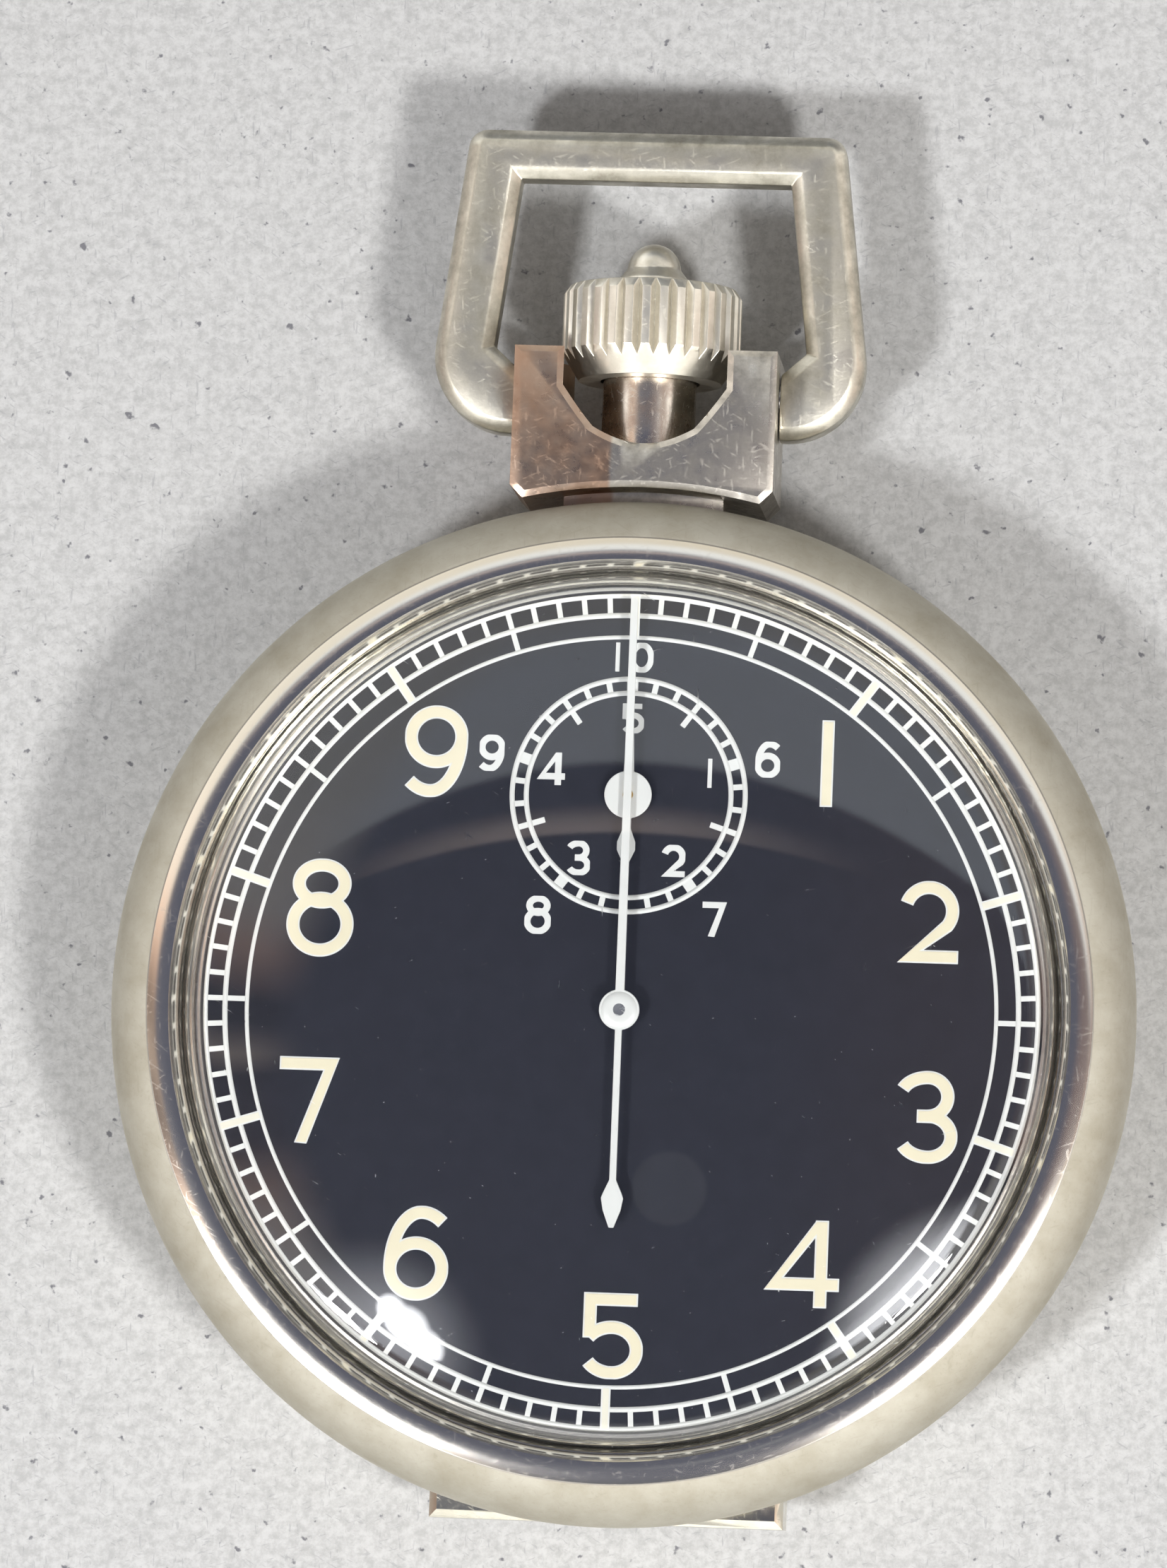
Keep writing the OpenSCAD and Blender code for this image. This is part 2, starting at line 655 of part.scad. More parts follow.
module dial() {
    foot_r = 0.5;
    color("black") {
        at(centre_p, dial_z) linear_extrude(dial_t) difference() {
            circle(dial_r);
            circle(0.65);
            translate(register_p) circle(0.5);
        }
        for (a = dial_foot_angles) rotate(a) translate([dial_foot_at, 0, dial_z - dial_foot_l])
            cylinder(h = dial_foot_l, r = foot_r);
    }
}
module dial_foot_screws() {
    color("steelblue") for (a = dial_foot_angles) rotate(a)
        translate([dial_foot_at + 0.5, 0, dial_side_z - 0.55]) rotate([0, 90, 0])
            cylinder(h = plate_r - dial_foot_at - 0.6, r = 0.4);
}

// Outline that is the same on both sides of the Y axis
function both_sides(half) = concat(half, [for (i = [len(half) - 1:-1:0]) [-half[i].x, half[i].y]]);

// Flat hand: boss, needle, and a leaf on the tail
module hand(p, z, boss_r, hole_r, half) {
    at(p, z) difference() {
        union() {
            cylinder(h = hand_t, r = boss_r);
            linear_extrude(hand_t) polygon(both_sides(half));
        }
        translate([0, 0, -cut]) cylinder(h = 2 * cut, r = hole_r);
    }
}

module sweep_hand() {
    leaf_w = 1.1;
    leaf_y = -9.3;
    color("white") hand(centre_p, sweep_hand_z, sweep_boss_d / 2, 0.3, [[0.18, sweep_l],
        [sweep_w / 2, 0], [0.17, -0.2], [0.17, leaf_y + 0.9], [leaf_w * 0.42, leaf_y + 0.25],
        [leaf_w / 2, leaf_y], [leaf_w * 0.4, leaf_y - 0.6], [0.12, -sweep_tail_l]]);
}

module register_hand() {
    leaf_w = 0.9;
    leaf_y = -2.75;
    color("white") hand(register_p, register_hand_z, register_boss_d / 2, 0.25, [[0.1, register_l],
        [0.3, 0], [0.2, -0.2], [0.2, -1.7], [leaf_w / 2, leaf_y + 0.4], [leaf_w / 2, leaf_y],
        [0.1, -register_tail_l]]);
}

// Heart-shaped cam: its radius grows evenly from the notch round to the far side
function heart(low, high) = [for (a = [0:10:350]) (low + (high - low) * (a < 180 ? a : 360 - a) / 180) * dir(a)];

module sweep_heart_cam() {
    color("gray") at(centre_p, sweep_heart_z) linear_extrude(heart_t) difference() {
        polygon(heart(0.75, 1.6));
        circle(0.45);
    }
}

module register_heart_cam() {
    color("gray") at(register_p, register_heart_z) linear_extrude(heart_t) difference() {
        polygon(heart(0.65, 1.4));
        circle(0.35);
    }
}

module register_wheel() {
    stud_r = 0.35;
    color("goldenrod") {
        at(register_p, register_wheel_z)
            spoked_wheel(register_teeth, register_m, register_phase, wheel_t, 4, 0.5, 1, stud_r);
        at(register_p, plate_z + 0.1) cylinder(h = register_heart_z + heart_t - plate_z - 0.1, r = stud_r);
        at(register_p, register_heart_z) cylinder(h = register_hand_z + hand_t - register_heart_z, r = 0.25);
    }
}

module intermediate_wheel() {
    hole_r = 0.4 + run_gap;
    color("goldenrod") {
        at(intermediate_p, intermediate_z)
            spoked_wheel(intermediate_teeth, register_m, intermediate_phase, wheel_t, 4, 0.5, 1, hole_r);
        at(intermediate_p, intermediate_z + wheel_t) linear_extrude(0.6) difference() {
            polygon(wheel_outline(intermediate_leaves, register_m, 0));
            circle(hole_r);
        }
    }
}

// Reset hammer: one lever with a nose for each heart
module reset_hammer() {
    color("gray") at(centre_p, hammer_z) linear_extrude(hammer_t) difference() {
        union() {
            link(hammer_p, hammer_knee, 1.4);
            link(hammer_knee, hammer_top, 1.4);
            link(hammer_knee - [0.5, 0], [2.75, hammer_knee.y], 1.2);
            link(hammer_top, [3.4, hammer_top.y], 1.2);
        }
        translate(hammer_p) circle(0.45 + run_gap);
    }
}

module hammer_spring() {
    foot = hammer_p + [6, 3];
    bend = foot + [-0.6, 5.4];
    tip = hammer_knee + 5.6 * dir(heading(hammer_knee, hammer_top)) + 0.83 * dir(heading(hammer_knee, hammer_top) - 90);
    color("gray") {
        at(centre_p, hammer_z) linear_extrude(0.4) {
            link(foot, bend, 0.25);
            link(bend, tip, 0.25);
            translate(foot) circle(0.8);
        }
        at(foot, dial_side_z) cylinder(h = hammer_z - dial_side_z, r = 0.8);
    }
}

module main_plate() {
    rim_in = plate_r - 1.3;
    color("silver") difference() {
        union() {
            translate([0, 0, plate_z]) cylinder(h = plate_t, r = plate_r);
            ring(dial_side_z - 0.1, dial_room + 0.1, plate_r, rim_in);
            for (a = dial_foot_angles) rotate(a) translate([dial_foot_at, 0, dial_side_z - 0.1])
                cylinder(h = 0.6, r = 1);
            at(intermediate_p, dial_side_z) cylinder(h = 1.3, r = 0.4);
            at(hammer_p, dial_side_z) cylinder(h = 1.6, r = 0.45);
            at(operating_p, plate_z - 1.4) cylinder(h = 1.5, r = 0.6);
            at(column_p, plate_z - 1.7) cylinder(h = 1.8, r = 0.6);
            at(brake_p, balance_z) cylinder(h = plate_z - balance_z + 0.1, r = 0.5);
            for (side = [-1, 1]) at(pallet_p + 2 * dir(lever_heading) + side * 0.6 * dir(lever_heading + 90), fork_z)
                cylinder(h = plate_z - fork_z + 0.1, r = 0.15);
        }
        for (p = plate_jewel_points) at(p, plate_z - cut) cylinder(h = jewel_t + cut, r = jewel_r);
        for (p = plate_jewel_points) at(p, plate_z) cylinder(h = 2 * plate_t, r = 0.3);
        at(centre_p, plate_z - cut) cylinder(h = 2 * plate_t, r = 0.45 + run_gap);
        at(register_p, plate_z - cut) cylinder(h = 2 * plate_t, r = 0.35 + run_gap);
        at(barrel_p, plate_z - cut) cylinder(h = cut + 0.8, r = 0.7 + run_gap);
        for (a = dial_foot_angles) rotate(a) translate([dial_foot_at, 0, dial_z - dial_foot_l - 0.1])
            cylinder(h = dial_foot_l + cut, r = 0.5 + run_gap);
        for (a = dial_foot_angles) rotate(a) translate([dial_foot_at, 0, dial_side_z - 0.55])
            rotate([0, 90, 0]) cylinder(h = plate_r, r = 0.4);
        for (p = bridge_screw_points) at(p, plate_z - cut) cylinder(h = cut + 1, r = screw_r);
        for (a = case_screw_angles) rotate(a) translate([case_screw_at, 0, plate_z - cut])
            cylinder(h = cut + 1, r = screw_r);
        translate([-stem_hole_r - 0.1, stem_end_y - crown_travel - 0.3, plate_z - cut])
            cube([2 * stem_hole_r + 0.2, plate_r, stem_z + stem_hole_r + 0.1 - plate_z + cut]);
        translate([-2.5, pinion_y - 0.7, plate_z - cut]) cube([5, 1.4, plate_t + 2 * cut]);
    }
}

// Screws, jewels and the feet of the bridges
screw_r = 0.45;
screw_head_r = 0.85;
screw_head_h = 0.4;
foot_pad_r = 1.3;
rim_foot_at = plate_r - foot_pad_r - 1;
barrel_feet = [rim_foot_at * dir(170.3), rim_foot_at * dir(104), (rim_foot_at - 0.8) * dir(73), [7.4, 3.6]];
train_feet = [(rim_foot_at - 1) * dir(197), rim_foot_at * dir(240), (rim_foot_at - 1.4) * dir(271)];
cock_feet = [(rim_foot_at - 0.3) * dir(-34), rim_foot_at * dir(-47)];
case_screw_angles = [18, 220];
case_screw_at = plate_r - 1.9;
case_screw_head_r = 1.7;
case_screw_head_h = 0.45;
bridge_screw_points = concat(barrel_feet, train_feet, cock_feet);
plate_jewel_points = [second_p, third_p, escape_p, pallet_p, balance_p];
train_jewel_points = [second_p, third_p, escape_p, centre_p];

// Bridge: a plate of the given outline on feet that reach the main plate
module bridge_on(feet) {
    difference() {
        union() {
            translate([0, 0, bridge_z]) linear_extrude(bridge_t) children();
            for (p = feet) at(p, bridge_z) cylinder(h = plate_z - bridge_z, r = foot_pad_r);
        }
        for (p = feet) at(p, bridge_z - cut) cylinder(h = plate_z, r = screw_r);
        for (p = feet) at(p, bridge_z - cut) cylinder(h = cut + screw_head_h, r = screw_head_r + thread_gap);
    }
}

bridge_r = plate_r - 1.2;
split_y = 1.7;
cock_cut_r = 5.9;

module barrel_bridge() {
    color("silver") difference() {
        bridge_on(barrel_feet) intersection() {
            circle(bridge_r);
            union() {
                translate([-bridge_r, split_y + 0.2]) square([bridge_r + 9, bridge_r]);
            }
        }
        at(barrel_p, bridge_z - cut) cylinder(h = bridge_t + 2 * cut, r = 0.8 + run_gap);
        at(crown_wheel_p, bridge_z - cut) cylinder(h = bridge_t + 2 * cut, r = crown_stud_r);
    }
    color("silver") at(click_p, train_z - 0.1) cylinder(h = shake + 0.6, r = click_pin_r);
}
crown_stud_r = 0.8;
click_pin_r = 0.4;

module train_bridge() {
    color("silver") difference() {
        bridge_on(train_feet) difference() {
            intersection() {
                circle(bridge_r);
                translate([-bridge_r, -bridge_r]) square([bridge_r + 6.2, bridge_r + split_y]);
            }
            translate(balance_p) circle(cock_cut_r);
            translate([3.2, -bridge_r]) square([bridge_r, 8]);
            for (a = case_screw_angles) rotate(a) translate([case_screw_at, 0]) circle(case_screw_head_r + 0.2);
        }
        for (p = train_jewel_points) at(p, train_z - jewel_t) cylinder(h = jewel_t + cut, r = jewel_r);
        for (p = train_jewel_points) at(p, bridge_z - cut) cylinder(h = bridge_t, r = 0.3);
    }
}

module balance_cock() {
    tail = (cock_feet[0] + cock_feet[1]) / 2;
    color("silver") difference() {
        bridge_on(cock_feet) {
            link(balance_p, tail, 3.6);
            link(cock_feet[0], cock_feet[1], 3.6);
        }
        at(balance_p, train_z - jewel_t) cylinder(h = jewel_t + cut, r = jewel_r);
        at(balance_p, bridge_z - cut) cylinder(h = bridge_t, r = 0.3);
        at(stud_p, bridge_z - cut) cylinder(h = bridge_t + 2 * cut, r = stud_r);
    }
}

pallet_feet = [for (side = [-1, 1]) pallet_p + side * 3.2 * dir(lever_heading + 90)];
module pallet_bridge() {
    color("silver") difference() {
        union() {
            at(centre_p, pallet_bridge_z) linear_extrude(pallet_bridge_t) {
                link(pallet_feet[0], pallet_p, 1.2);
                link(pallet_p, pallet_feet[1], 1.2);
                translate(pallet_p) circle(1);
            }
            for (p = pallet_feet) at(p, pallet_bridge_z) cylinder(h = plate_z - pallet_bridge_z, r = 0.6);
        }
        at(pallet_p, pallet_bridge_z - cut) cylinder(h = 2, r = jewel_r - 0.2);
    }
}

// One screw, head down
module screw(p, z, l) {
    at(p, z) difference() {
        union() {
            cylinder(h = screw_head_h, r = screw_head_r);
            cylinder(h = l, r = screw_r);
        }
        translate([-screw_head_r, -0.12, -cut]) cube([2 * screw_head_r, 0.24, cut + 0.18]);
    }
}

module bridge_screws() {
    color("steelblue") for (p = bridge_screw_points)
        screw(p, bridge_z, plate_z - bridge_z + 0.9);
}

// Screws whose heads hold the movement down on the ledge of the case
module case_screws() {
    low = plate_z - ledge_h - case_screw_head_h;
    color("steelblue") for (a = case_screw_angles) rotate(a) translate([case_screw_at, 0, low]) difference() {
        union() {
            cylinder(h = case_screw_head_h, r = case_screw_head_r);
            cylinder(h = plate_z + 0.9 - low, r = screw_r);
        }
        translate([-2, -0.15, -cut]) cube([4, 0.3, cut + 0.2]);
    }
}

module jewel(p, z, outer) {
    at(p, z) ring(0, jewel_t, outer, pivot_r + run_gap);
}

module plate_jewels() {
    color("crimson") for (p = plate_jewel_points) jewel(p, plate_z, jewel_r);
}

module bridge_jewels() {
    color("crimson") {
        for (p = concat(train_jewel_points, [balance_p])) jewel(p, train_z - jewel_t, jewel_r);
        at(pallet_p, pallet_bridge_z) ring(0, pallet_bridge_t, jewel_r - 0.2, pivot_r + run_gap);
    }
}

// Mainspring barrel, with its cover, arbor and spring
drum_r = root_r(barrel_teeth, barrel_m) - 0.25;
drum_wall = 0.4;
drum_in = drum_r - drum_wall;
cover_t = 0.2;
barrel_floor = 0.35;
barrel_shaft_r = 1;
core_r = 2.2;
module barrel() {
    color("goldenrod") at(barrel_p, barrel_z) difference() {
        union() {
            linear_extrude(barrel_tooth_t) polygon(wheel_outline(barrel_teeth, barrel_m, 0));
            cylinder(h = barrel_h, r = drum_r);
        }
        translate([0, 0, barrel_floor]) cylinder(h = barrel_h, r = drum_in);
        translate([0, 0, -cut]) cylinder(h = barrel_h, r = barrel_shaft_r + run_gap);
    }
}

module barrel_cover() {
    color("goldenrod") at(barrel_p, barrel_z + barrel_h - cover_t) ring(0, cover_t, drum_in, barrel_shaft_r + run_gap);
}

module barrel_arbor() {
    spring_room = barrel_h - barrel_floor - cover_t;
    color("gray") at(barrel_p, 0) {
        translate([0, 0, bridge_z + 0.1]) cylinder(h = train_z - bridge_z - 0.1, r = 0.8);
        translate([-0.8, -0.8, train_z]) cube([1.6, 1.6, winding_t + 0.1]);
        translate([0, 0, winding_z + winding_t]) cylinder(h = plate_z - shake - winding_z - winding_t, r = barrel_shaft_r);
        translate([0, 0, barrel_z + barrel_floor + 0.05]) cylinder(h = spring_room - 0.1, r = core_r);
        translate([0, 0, plate_z - 0.1]) cylinder(h = 0.8, r = 0.7);
    }
}

mainspring_turns = 5;
mainspring_t = 0.3;
hairspring_turns = 6;
hairspring_w = 0.07;
module mainspring() {
    r0 = core_r + 0.3;
    r1 = drum_in - 0.2;
    echo(mainspring_least_gap = (r1 - r0) / mainspring_turns - mainspring_t);
    color("slategray") at(barrel_p, barrel_z + barrel_floor + 0.08)
        spiral_strip(r0, r1, mainspring_turns, mainspring_t, barrel_h - barrel_floor - cover_t - 0.16);
}

// Ratchet and crown wheels, under the barrel bridge
module ratchet_wheel() {
    color("silver") at(barrel_p, winding_z) linear_extrude(winding_t) difference() {
        polygon(wheel_outline(ratchet_teeth, winding_m, ratchet_phase));
        square(1.6, center = true);
    }
}

module crown_wheel() {
    tooth_w = 0.6;
    up = 0.8 * keyless_m + stem_z - keyless_r - winding_z - winding_t;
    color("silver") at(crown_wheel_p, winding_z) difference() {
        union() {
            linear_extrude(winding_t) polygon(wheel_outline(crown_wheel_teeth, winding_m, 0));
            for (i = [0:contrate_teeth - 1]) rotate(90 + (i + 0.5) * 360 / contrate_teeth)
                translate([contrate_r - tooth_w / 2, 0, winding_t - 0.1]) rotate([90, 0, 90])
                    linear_extrude(tooth_w) polygon([[-0.25, 0], [0.25, 0], [0.12, up + 0.1], [-0.12, up + 0.1]]);
        }
        translate([0, 0, -cut]) cylinder(h = 2, r = crown_stud_r + run_gap);
    }
}

module crown_wheel_stud() {
    color("steelblue") at(crown_wheel_p, bridge_z) {
        cylinder(h = bridge_t + shake + winding_t + 0.05, r = crown_stud_r);
        translate([0, 0, bridge_t + shake + winding_t + 0.05]) cylinder(h = 0.3, r = 1.5);
        translate([0, 0, -0.25]) cylinder(h = 0.25, r = 1.3);
    }
}

module click() {
    nose = barrel_p + (tip_r(ratchet_teeth, winding_m) + 0.4) * dir(60);
    color("gray") at(centre_p, winding_z) linear_extrude(0.4) difference() {
        union() {
            link(click_p, nose, 0.7);
            link(click_p, click_tail, 0.7);
            translate(click_p) circle(0.9);
        }
        translate(click_p) circle(click_pin_r + run_gap);
    }
}

module click_spring() {
    foot = click_p + [-4.2, 0];
    color("gray") {
        at(centre_p, winding_z) linear_extrude(0.3) {
            link(foot, click_tail + 0.45 * dir(170), 0.2);
            translate(foot) circle(0.6);
        }
        at(foot, train_z) cylinder(h = winding_z - train_z, r = 0.6);
    }
}

// Going train
module second_wheel() {
    color("goldenrod") at(second_p, second_wheel_z)
        spoked_wheel(second_teeth, second_m, 0, wheel_t, 5, 0.5, 1.3, 0.5);
}

module second_pinion() {
    color("gray") at(second_p, 0) {
        jewelled_arbor(0.5, train_z, plate_z);
        translate([0, 0, barrel_z - 0.1]) linear_extrude(second_wheel_z - barrel_z + 0.1)
            polygon(wheel_outline(second_leaves, barrel_m, second_pinion_phase));
    }
}

module third_wheel() {
    color("goldenrod") at(third_p, third_wheel_z)
        spoked_wheel(third_teeth, third_m, 0, wheel_t, 5, 0.4, 1, 0.4);
}

module third_pinion() {
    top = plate_z - 0.07;
    color("gray") at(third_p, 0) {
        jewelled_arbor(0.4, train_z, plate_z);
        translate([0, 0, third_wheel_z + wheel_t]) linear_extrude(top - third_wheel_z - wheel_t)
            polygon(wheel_outline(third_leaves, second_m, third_pinion_phase));
    }
}

module sweep_wheel() {
    color("goldenrod") at(centre_p, sweep_wheel_z)
        spoked_wheel(sweep_teeth, sweep_m, 0, wheel_t, 4, 0.4, 0.9, 0.3);
}

module sweep_arbor() {
    color("gray") {
        translate([0, 0, train_z - pivot_l]) cylinder(h = 1, r = pivot_r);
        translate([0, 0, train_z + shake]) cylinder(h = sweep_hand_z + hand_t + 0.1 - train_z - shake, r = 0.3);
        translate([0, 0, third_wheel_z - 0.15]) linear_extrude(wheel_t + 0.3)
            polygon(wheel_outline(sweep_leaves, third_m, sweep_pinion_phase));
        translate([0, 0, plate_z - shake]) cylinder(h = dial_z - plate_z, r = 0.45);
        translate([0, 0, intermediate_z - 0.1]) linear_extrude(wheel_t + 0.2)
            polygon(wheel_outline(driving_leaves, register_m, 0));
    }
}

function escape_outline() = let (step = 360 / escape_teeth, tip = 2.4, root = 1.85)
    [for (i = [0:escape_teeth - 1]) each [root * dir(i * step), tip * dir((i + 0.34) * step),
        tip * dir((i + 0.46) * step), root * dir((i + 0.6) * step)]];

module escape_wheel() {
    color("gray") at(escape_p, escape_wheel_z) linear_extrude(0.2) difference() {
        polygon(escape_outline());
        difference() {
            circle(1.5);
            circle(0.6);
            for (i = [0:3]) rotate(i * 90) translate([0, -0.15]) square([1.6, 0.3]);
        }
        circle(0.2);
    }
}

module escape_pinion() {
    color("gray") at(escape_p, 0) {
        jewelled_arbor(0.2, train_z, plate_z);
        translate([0, 0, sweep_wheel_z - 0.15]) linear_extrude(wheel_t + 0.35)
            polygon(wheel_outline(escape_leaves, sweep_m, escape_pinion_phase));
    }
}

// Pallet fork: two arms with stones round the escape wheel, and a lever to the roller
stone_angle = 30;
stone_at = [for (side = [-1, 1]) escape_p + 2.95 * dir(lever_heading + side * stone_angle)];
module pallet_fork() {
    notch_p = balance_p - 1.05 * dir(lever_heading);
    color("gray") {
        at(centre_p, fork_z) linear_extrude(fork_t) difference() {
            union() {
                for (p = stone_at) link(pallet_p, p, 0.5);
                link(pallet_p, notch_p, 0.4);
                translate(notch_p) circle(0.42);
            }
            translate(notch_p) rotate(lever_heading) translate([-0.05, -0.18]) square([1, 0.36]);
        }
        at(pallet_p, 0) jewelled_arbor(0.3, pallet_bridge_z + pallet_bridge_t, plate_z);
    }
}

module pallet_stones() {
    color("crimson") for (i = [0, 1]) let (a = lever_heading + (i == 0 ? -1 : 1) * stone_angle)
        translate([stone_at[i].x, stone_at[i].y, fork_z + fork_t]) rotate(a) translate([-0.45, -0.15])
            cube([0.7, 0.3, 0.22]);
}

// Balance, with its timing screws, staff, roller and spring
module balance_wheel() {
    rim_r = 5.15;
    color("goldenrod") at(balance_p, balance_z) {
        linear_extrude(balance_t) difference() {
            circle(rim_r);
            difference() {
                circle(rim_r - 0.55);
                circle(0.9);
                translate([-rim_r, -0.35]) square([2 * rim_r, 0.7]);
            }
            circle(0.35);
        }
        for (a = [15:30:345]) rotate(a) translate([rim_r - 0.1, 0, balance_t / 2]) rotate([0, 90, 0])
            cylinder(h = 0.4, r = 0.2);
    }
}

module balance_staff() {
    color("gray") at(balance_p, 0) {
        jewelled_arbor(0.35, train_z, plate_z);
        translate([0, 0, hairspring_z]) cylinder(h = hairspring_t, r = 0.6);
    }
}

module roller() {
    color("silver") at(balance_p, roller_z) {
        ring(0, 0.2, 1.25, 0.35);
        rotate(lever_heading) translate([-0.85, 0, 0]) cylinder(h = fork_z - 0.1 - roller_z, r = 0.17);
    }
}

stud_r = 0.3;
spring_out_r = 3.4;
stud_heading = -40;
stud_p = balance_p + spring_out_r * dir(stud_heading) + 0.15 * dir(stud_heading + 90);
module hairspring() {
    r0 = 0.6 + hairspring_w / 2;
    echo(hairspring_least_gap = (spring_out_r - r0) / hairspring_turns - hairspring_w);
    color("slategray") at(balance_p, 0) hairspring_strip();
}
module hairspring_strip() {
    translate([0, 0, hairspring_z]) rotate(stud_heading)
        spiral_strip(0.6 + hairspring_w / 2, spring_out_r, hairspring_turns, hairspring_w, hairspring_t);
}

// Stud with a slot that holds the end of the hairspring
module hairspring_stud() {
    color("gray") difference() {
        at(stud_p, bridge_z) cylinder(h = hairspring_z + hairspring_t + 0.05 - bridge_z, r = stud_r);
        at(balance_p, 0) hairspring_strip();
    }
}

module regulator() {
    curb = 75;
    curb_r = spring_out_r - (spring_out_r - 0.6) / hairspring_turns * curb / 360;
    color("gray") {
        at(centre_p, bridge_z - 0.3) linear_extrude(0.3) difference() {
            union() {
                translate(balance_p) circle(1.6);
                link(balance_p, balance_p + 4.6 * dir(100), 0.6);
                link(balance_p, balance_p + 3.5 * dir(stud_heading - curb), 0.9);
            }
            translate(balance_p) circle(0.9);
        }
        for (side = [-1, 1]) at(balance_p + (curb_r + side * 0.18) * dir(stud_heading - curb), bridge_z - 0.1)
            cylinder(h = hairspring_z + hairspring_t + 0.1 - bridge_z, r = 0.1);
    }
}

// Start and stop work
module operating_lever() {
    nose_r = 0.5;
    nose = [0, stem_end_y - 0.05 - nose_r];
    elbow = nose + [1.4, -0.9];
    color("gray") at(centre_p, plate_z - 1.1) linear_extrude(0.9) difference() {
        union() {
            link(operating_p, elbow, 2 * nose_r);
            link(elbow, nose, 2 * nose_r);
            link(operating_p, operating_end, 1);
            translate(operating_p) circle(1.2);
        }
        translate(operating_p) circle(0.6 + run_gap);
    }
}

module lever_spring() {
    foot = operating_end + [4.7, -1.5];
    color("gray") {
        at(centre_p, plate_z - 0.9) linear_extrude(0.5) {
            link(foot, operating_end + 0.625 * dir(70), 0.25);
            translate(foot) circle(0.9);
        }
        at(foot, plate_z - 0.4) cylinder(h = 0.4, r = 0.9);
    }
}

// Column wheel: ratchet teeth below, six columns above
module column_wheel() {
    step = 30;
    color("gray") at(column_p, plate_z - 1.55) difference() {
        union() {
            translate([0, 0, 0.95]) linear_extrude(0.5)
                polygon([for (a = [0:step:330]) each [2.1 * dir(a), 2.6 * dir(a + 4), 2.15 * dir(a + 22)]]);
            linear_extrude(1.2) for (a = [0:60:300]) rotate(a)
                polygon(concat(arc([0, 0], 2, -13, 13, 4), arc([0, 0], 0.9, 13, -13, 2)));
            cylinder(h = 1.45, r = 1);
        }
        translate([0, 0, -cut]) cylinder(h = 3, r = 0.6 + run_gap);
    }
}

module brake_lever() {
    tip = balance_p + 6.35 * dir(20);
    color("gray") at(centre_p, balance_z + 0.05) linear_extrude(0.4) difference() {
        union() {
            link(brake_p, tip, 0.7);
            link(brake_p, brake_p + [-0.9, 3.4], 0.8);
            translate(brake_p) circle(1);
        }
        translate(brake_p) circle(0.5 + run_gap);
    }
}

back_cover();
case_middle();
bezel();
crystal();
pendant_block();
pendant_sleeve();
bow_pins();
bow();
crown();
crown_pip();
winding_stem();
winding_pinion();
dial();
dial_foot_screws();
sweep_hand();
register_hand();
sweep_heart_cam();
register_heart_cam();
register_wheel();
intermediate_wheel();
reset_hammer();
hammer_spring();
main_plate();
barrel_bridge();
train_bridge();
balance_cock();
pallet_bridge();
bridge_screws();
case_screws();
plate_jewels();
bridge_jewels();
barrel();
barrel_cover();
barrel_arbor();
mainspring();
ratchet_wheel();
crown_wheel();
crown_wheel_stud();
click();
click_spring();
second_wheel();
second_pinion();
third_wheel();
third_pinion();
sweep_wheel();
sweep_arbor();
escape_wheel();
escape_pinion();
pallet_fork();
pallet_stones();
balance_wheel();
balance_staff();
roller();
hairspring();
hairspring_stud();
regulator();
operating_lever();
lever_spring();
column_wheel();
brake_lever();
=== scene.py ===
"""Looks of a pocket stopwatch that lies on its back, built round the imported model.

Lengths in the tables below are in millimetres, and become metres where a mesh is made.
"""
import json
import math

import bmesh
import bpy
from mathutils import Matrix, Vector


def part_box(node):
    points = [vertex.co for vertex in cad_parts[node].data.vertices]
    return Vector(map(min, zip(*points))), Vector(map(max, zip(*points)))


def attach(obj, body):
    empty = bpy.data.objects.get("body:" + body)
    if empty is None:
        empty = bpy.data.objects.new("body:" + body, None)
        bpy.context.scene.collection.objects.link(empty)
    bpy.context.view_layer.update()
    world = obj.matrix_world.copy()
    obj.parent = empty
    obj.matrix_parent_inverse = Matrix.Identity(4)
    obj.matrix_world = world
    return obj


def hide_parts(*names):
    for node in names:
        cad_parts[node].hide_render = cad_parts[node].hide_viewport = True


bl_info = {
    "name": "Pocket stopwatch",
    "version": (1, 0, 0),
    "blender": (4, 5, 0),
    "location": "View3D > Sidebar > Stopwatch",
    "description": "Dial print, crystal, metal finishes and stage for a pocket stopwatch",
    "category": "Object",
}

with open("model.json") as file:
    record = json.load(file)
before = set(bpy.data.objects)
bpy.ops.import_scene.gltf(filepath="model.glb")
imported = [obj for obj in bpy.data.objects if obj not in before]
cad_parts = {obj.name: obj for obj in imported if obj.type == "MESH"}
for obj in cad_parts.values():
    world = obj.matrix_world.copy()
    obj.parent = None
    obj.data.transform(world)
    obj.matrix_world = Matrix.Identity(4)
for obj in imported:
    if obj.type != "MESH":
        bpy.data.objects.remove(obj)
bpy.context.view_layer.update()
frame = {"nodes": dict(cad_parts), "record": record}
NODES = frame["nodes"]
MM = 0.001
FULL_TURN = 2 * math.pi
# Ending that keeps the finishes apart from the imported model's own materials
FINISH = "_finish"

# Heights and the register's place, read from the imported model
DIAL_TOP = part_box("dial")[1].z / MM
HAND_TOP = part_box("sweep_hand")[1].z / MM
REGISTER_Y = (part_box("register_wheel")[0].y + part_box("register_wheel")[1].y) / 2 / MM


# Meshes

# For copied nodes: merging distance in metres, then in degrees what counts as flat, as an edge and as a crease
MERGE, FLAT_DEG, EDGE_DEG, CREASE_DEG = 2e-7, 0.4, 30, 35


def new_object(name, data):
    """Puts a mesh, lamp or camera into the scene."""
    obj = bpy.data.objects.new(name, data)
    bpy.context.scene.collection.objects.link(obj)
    return obj


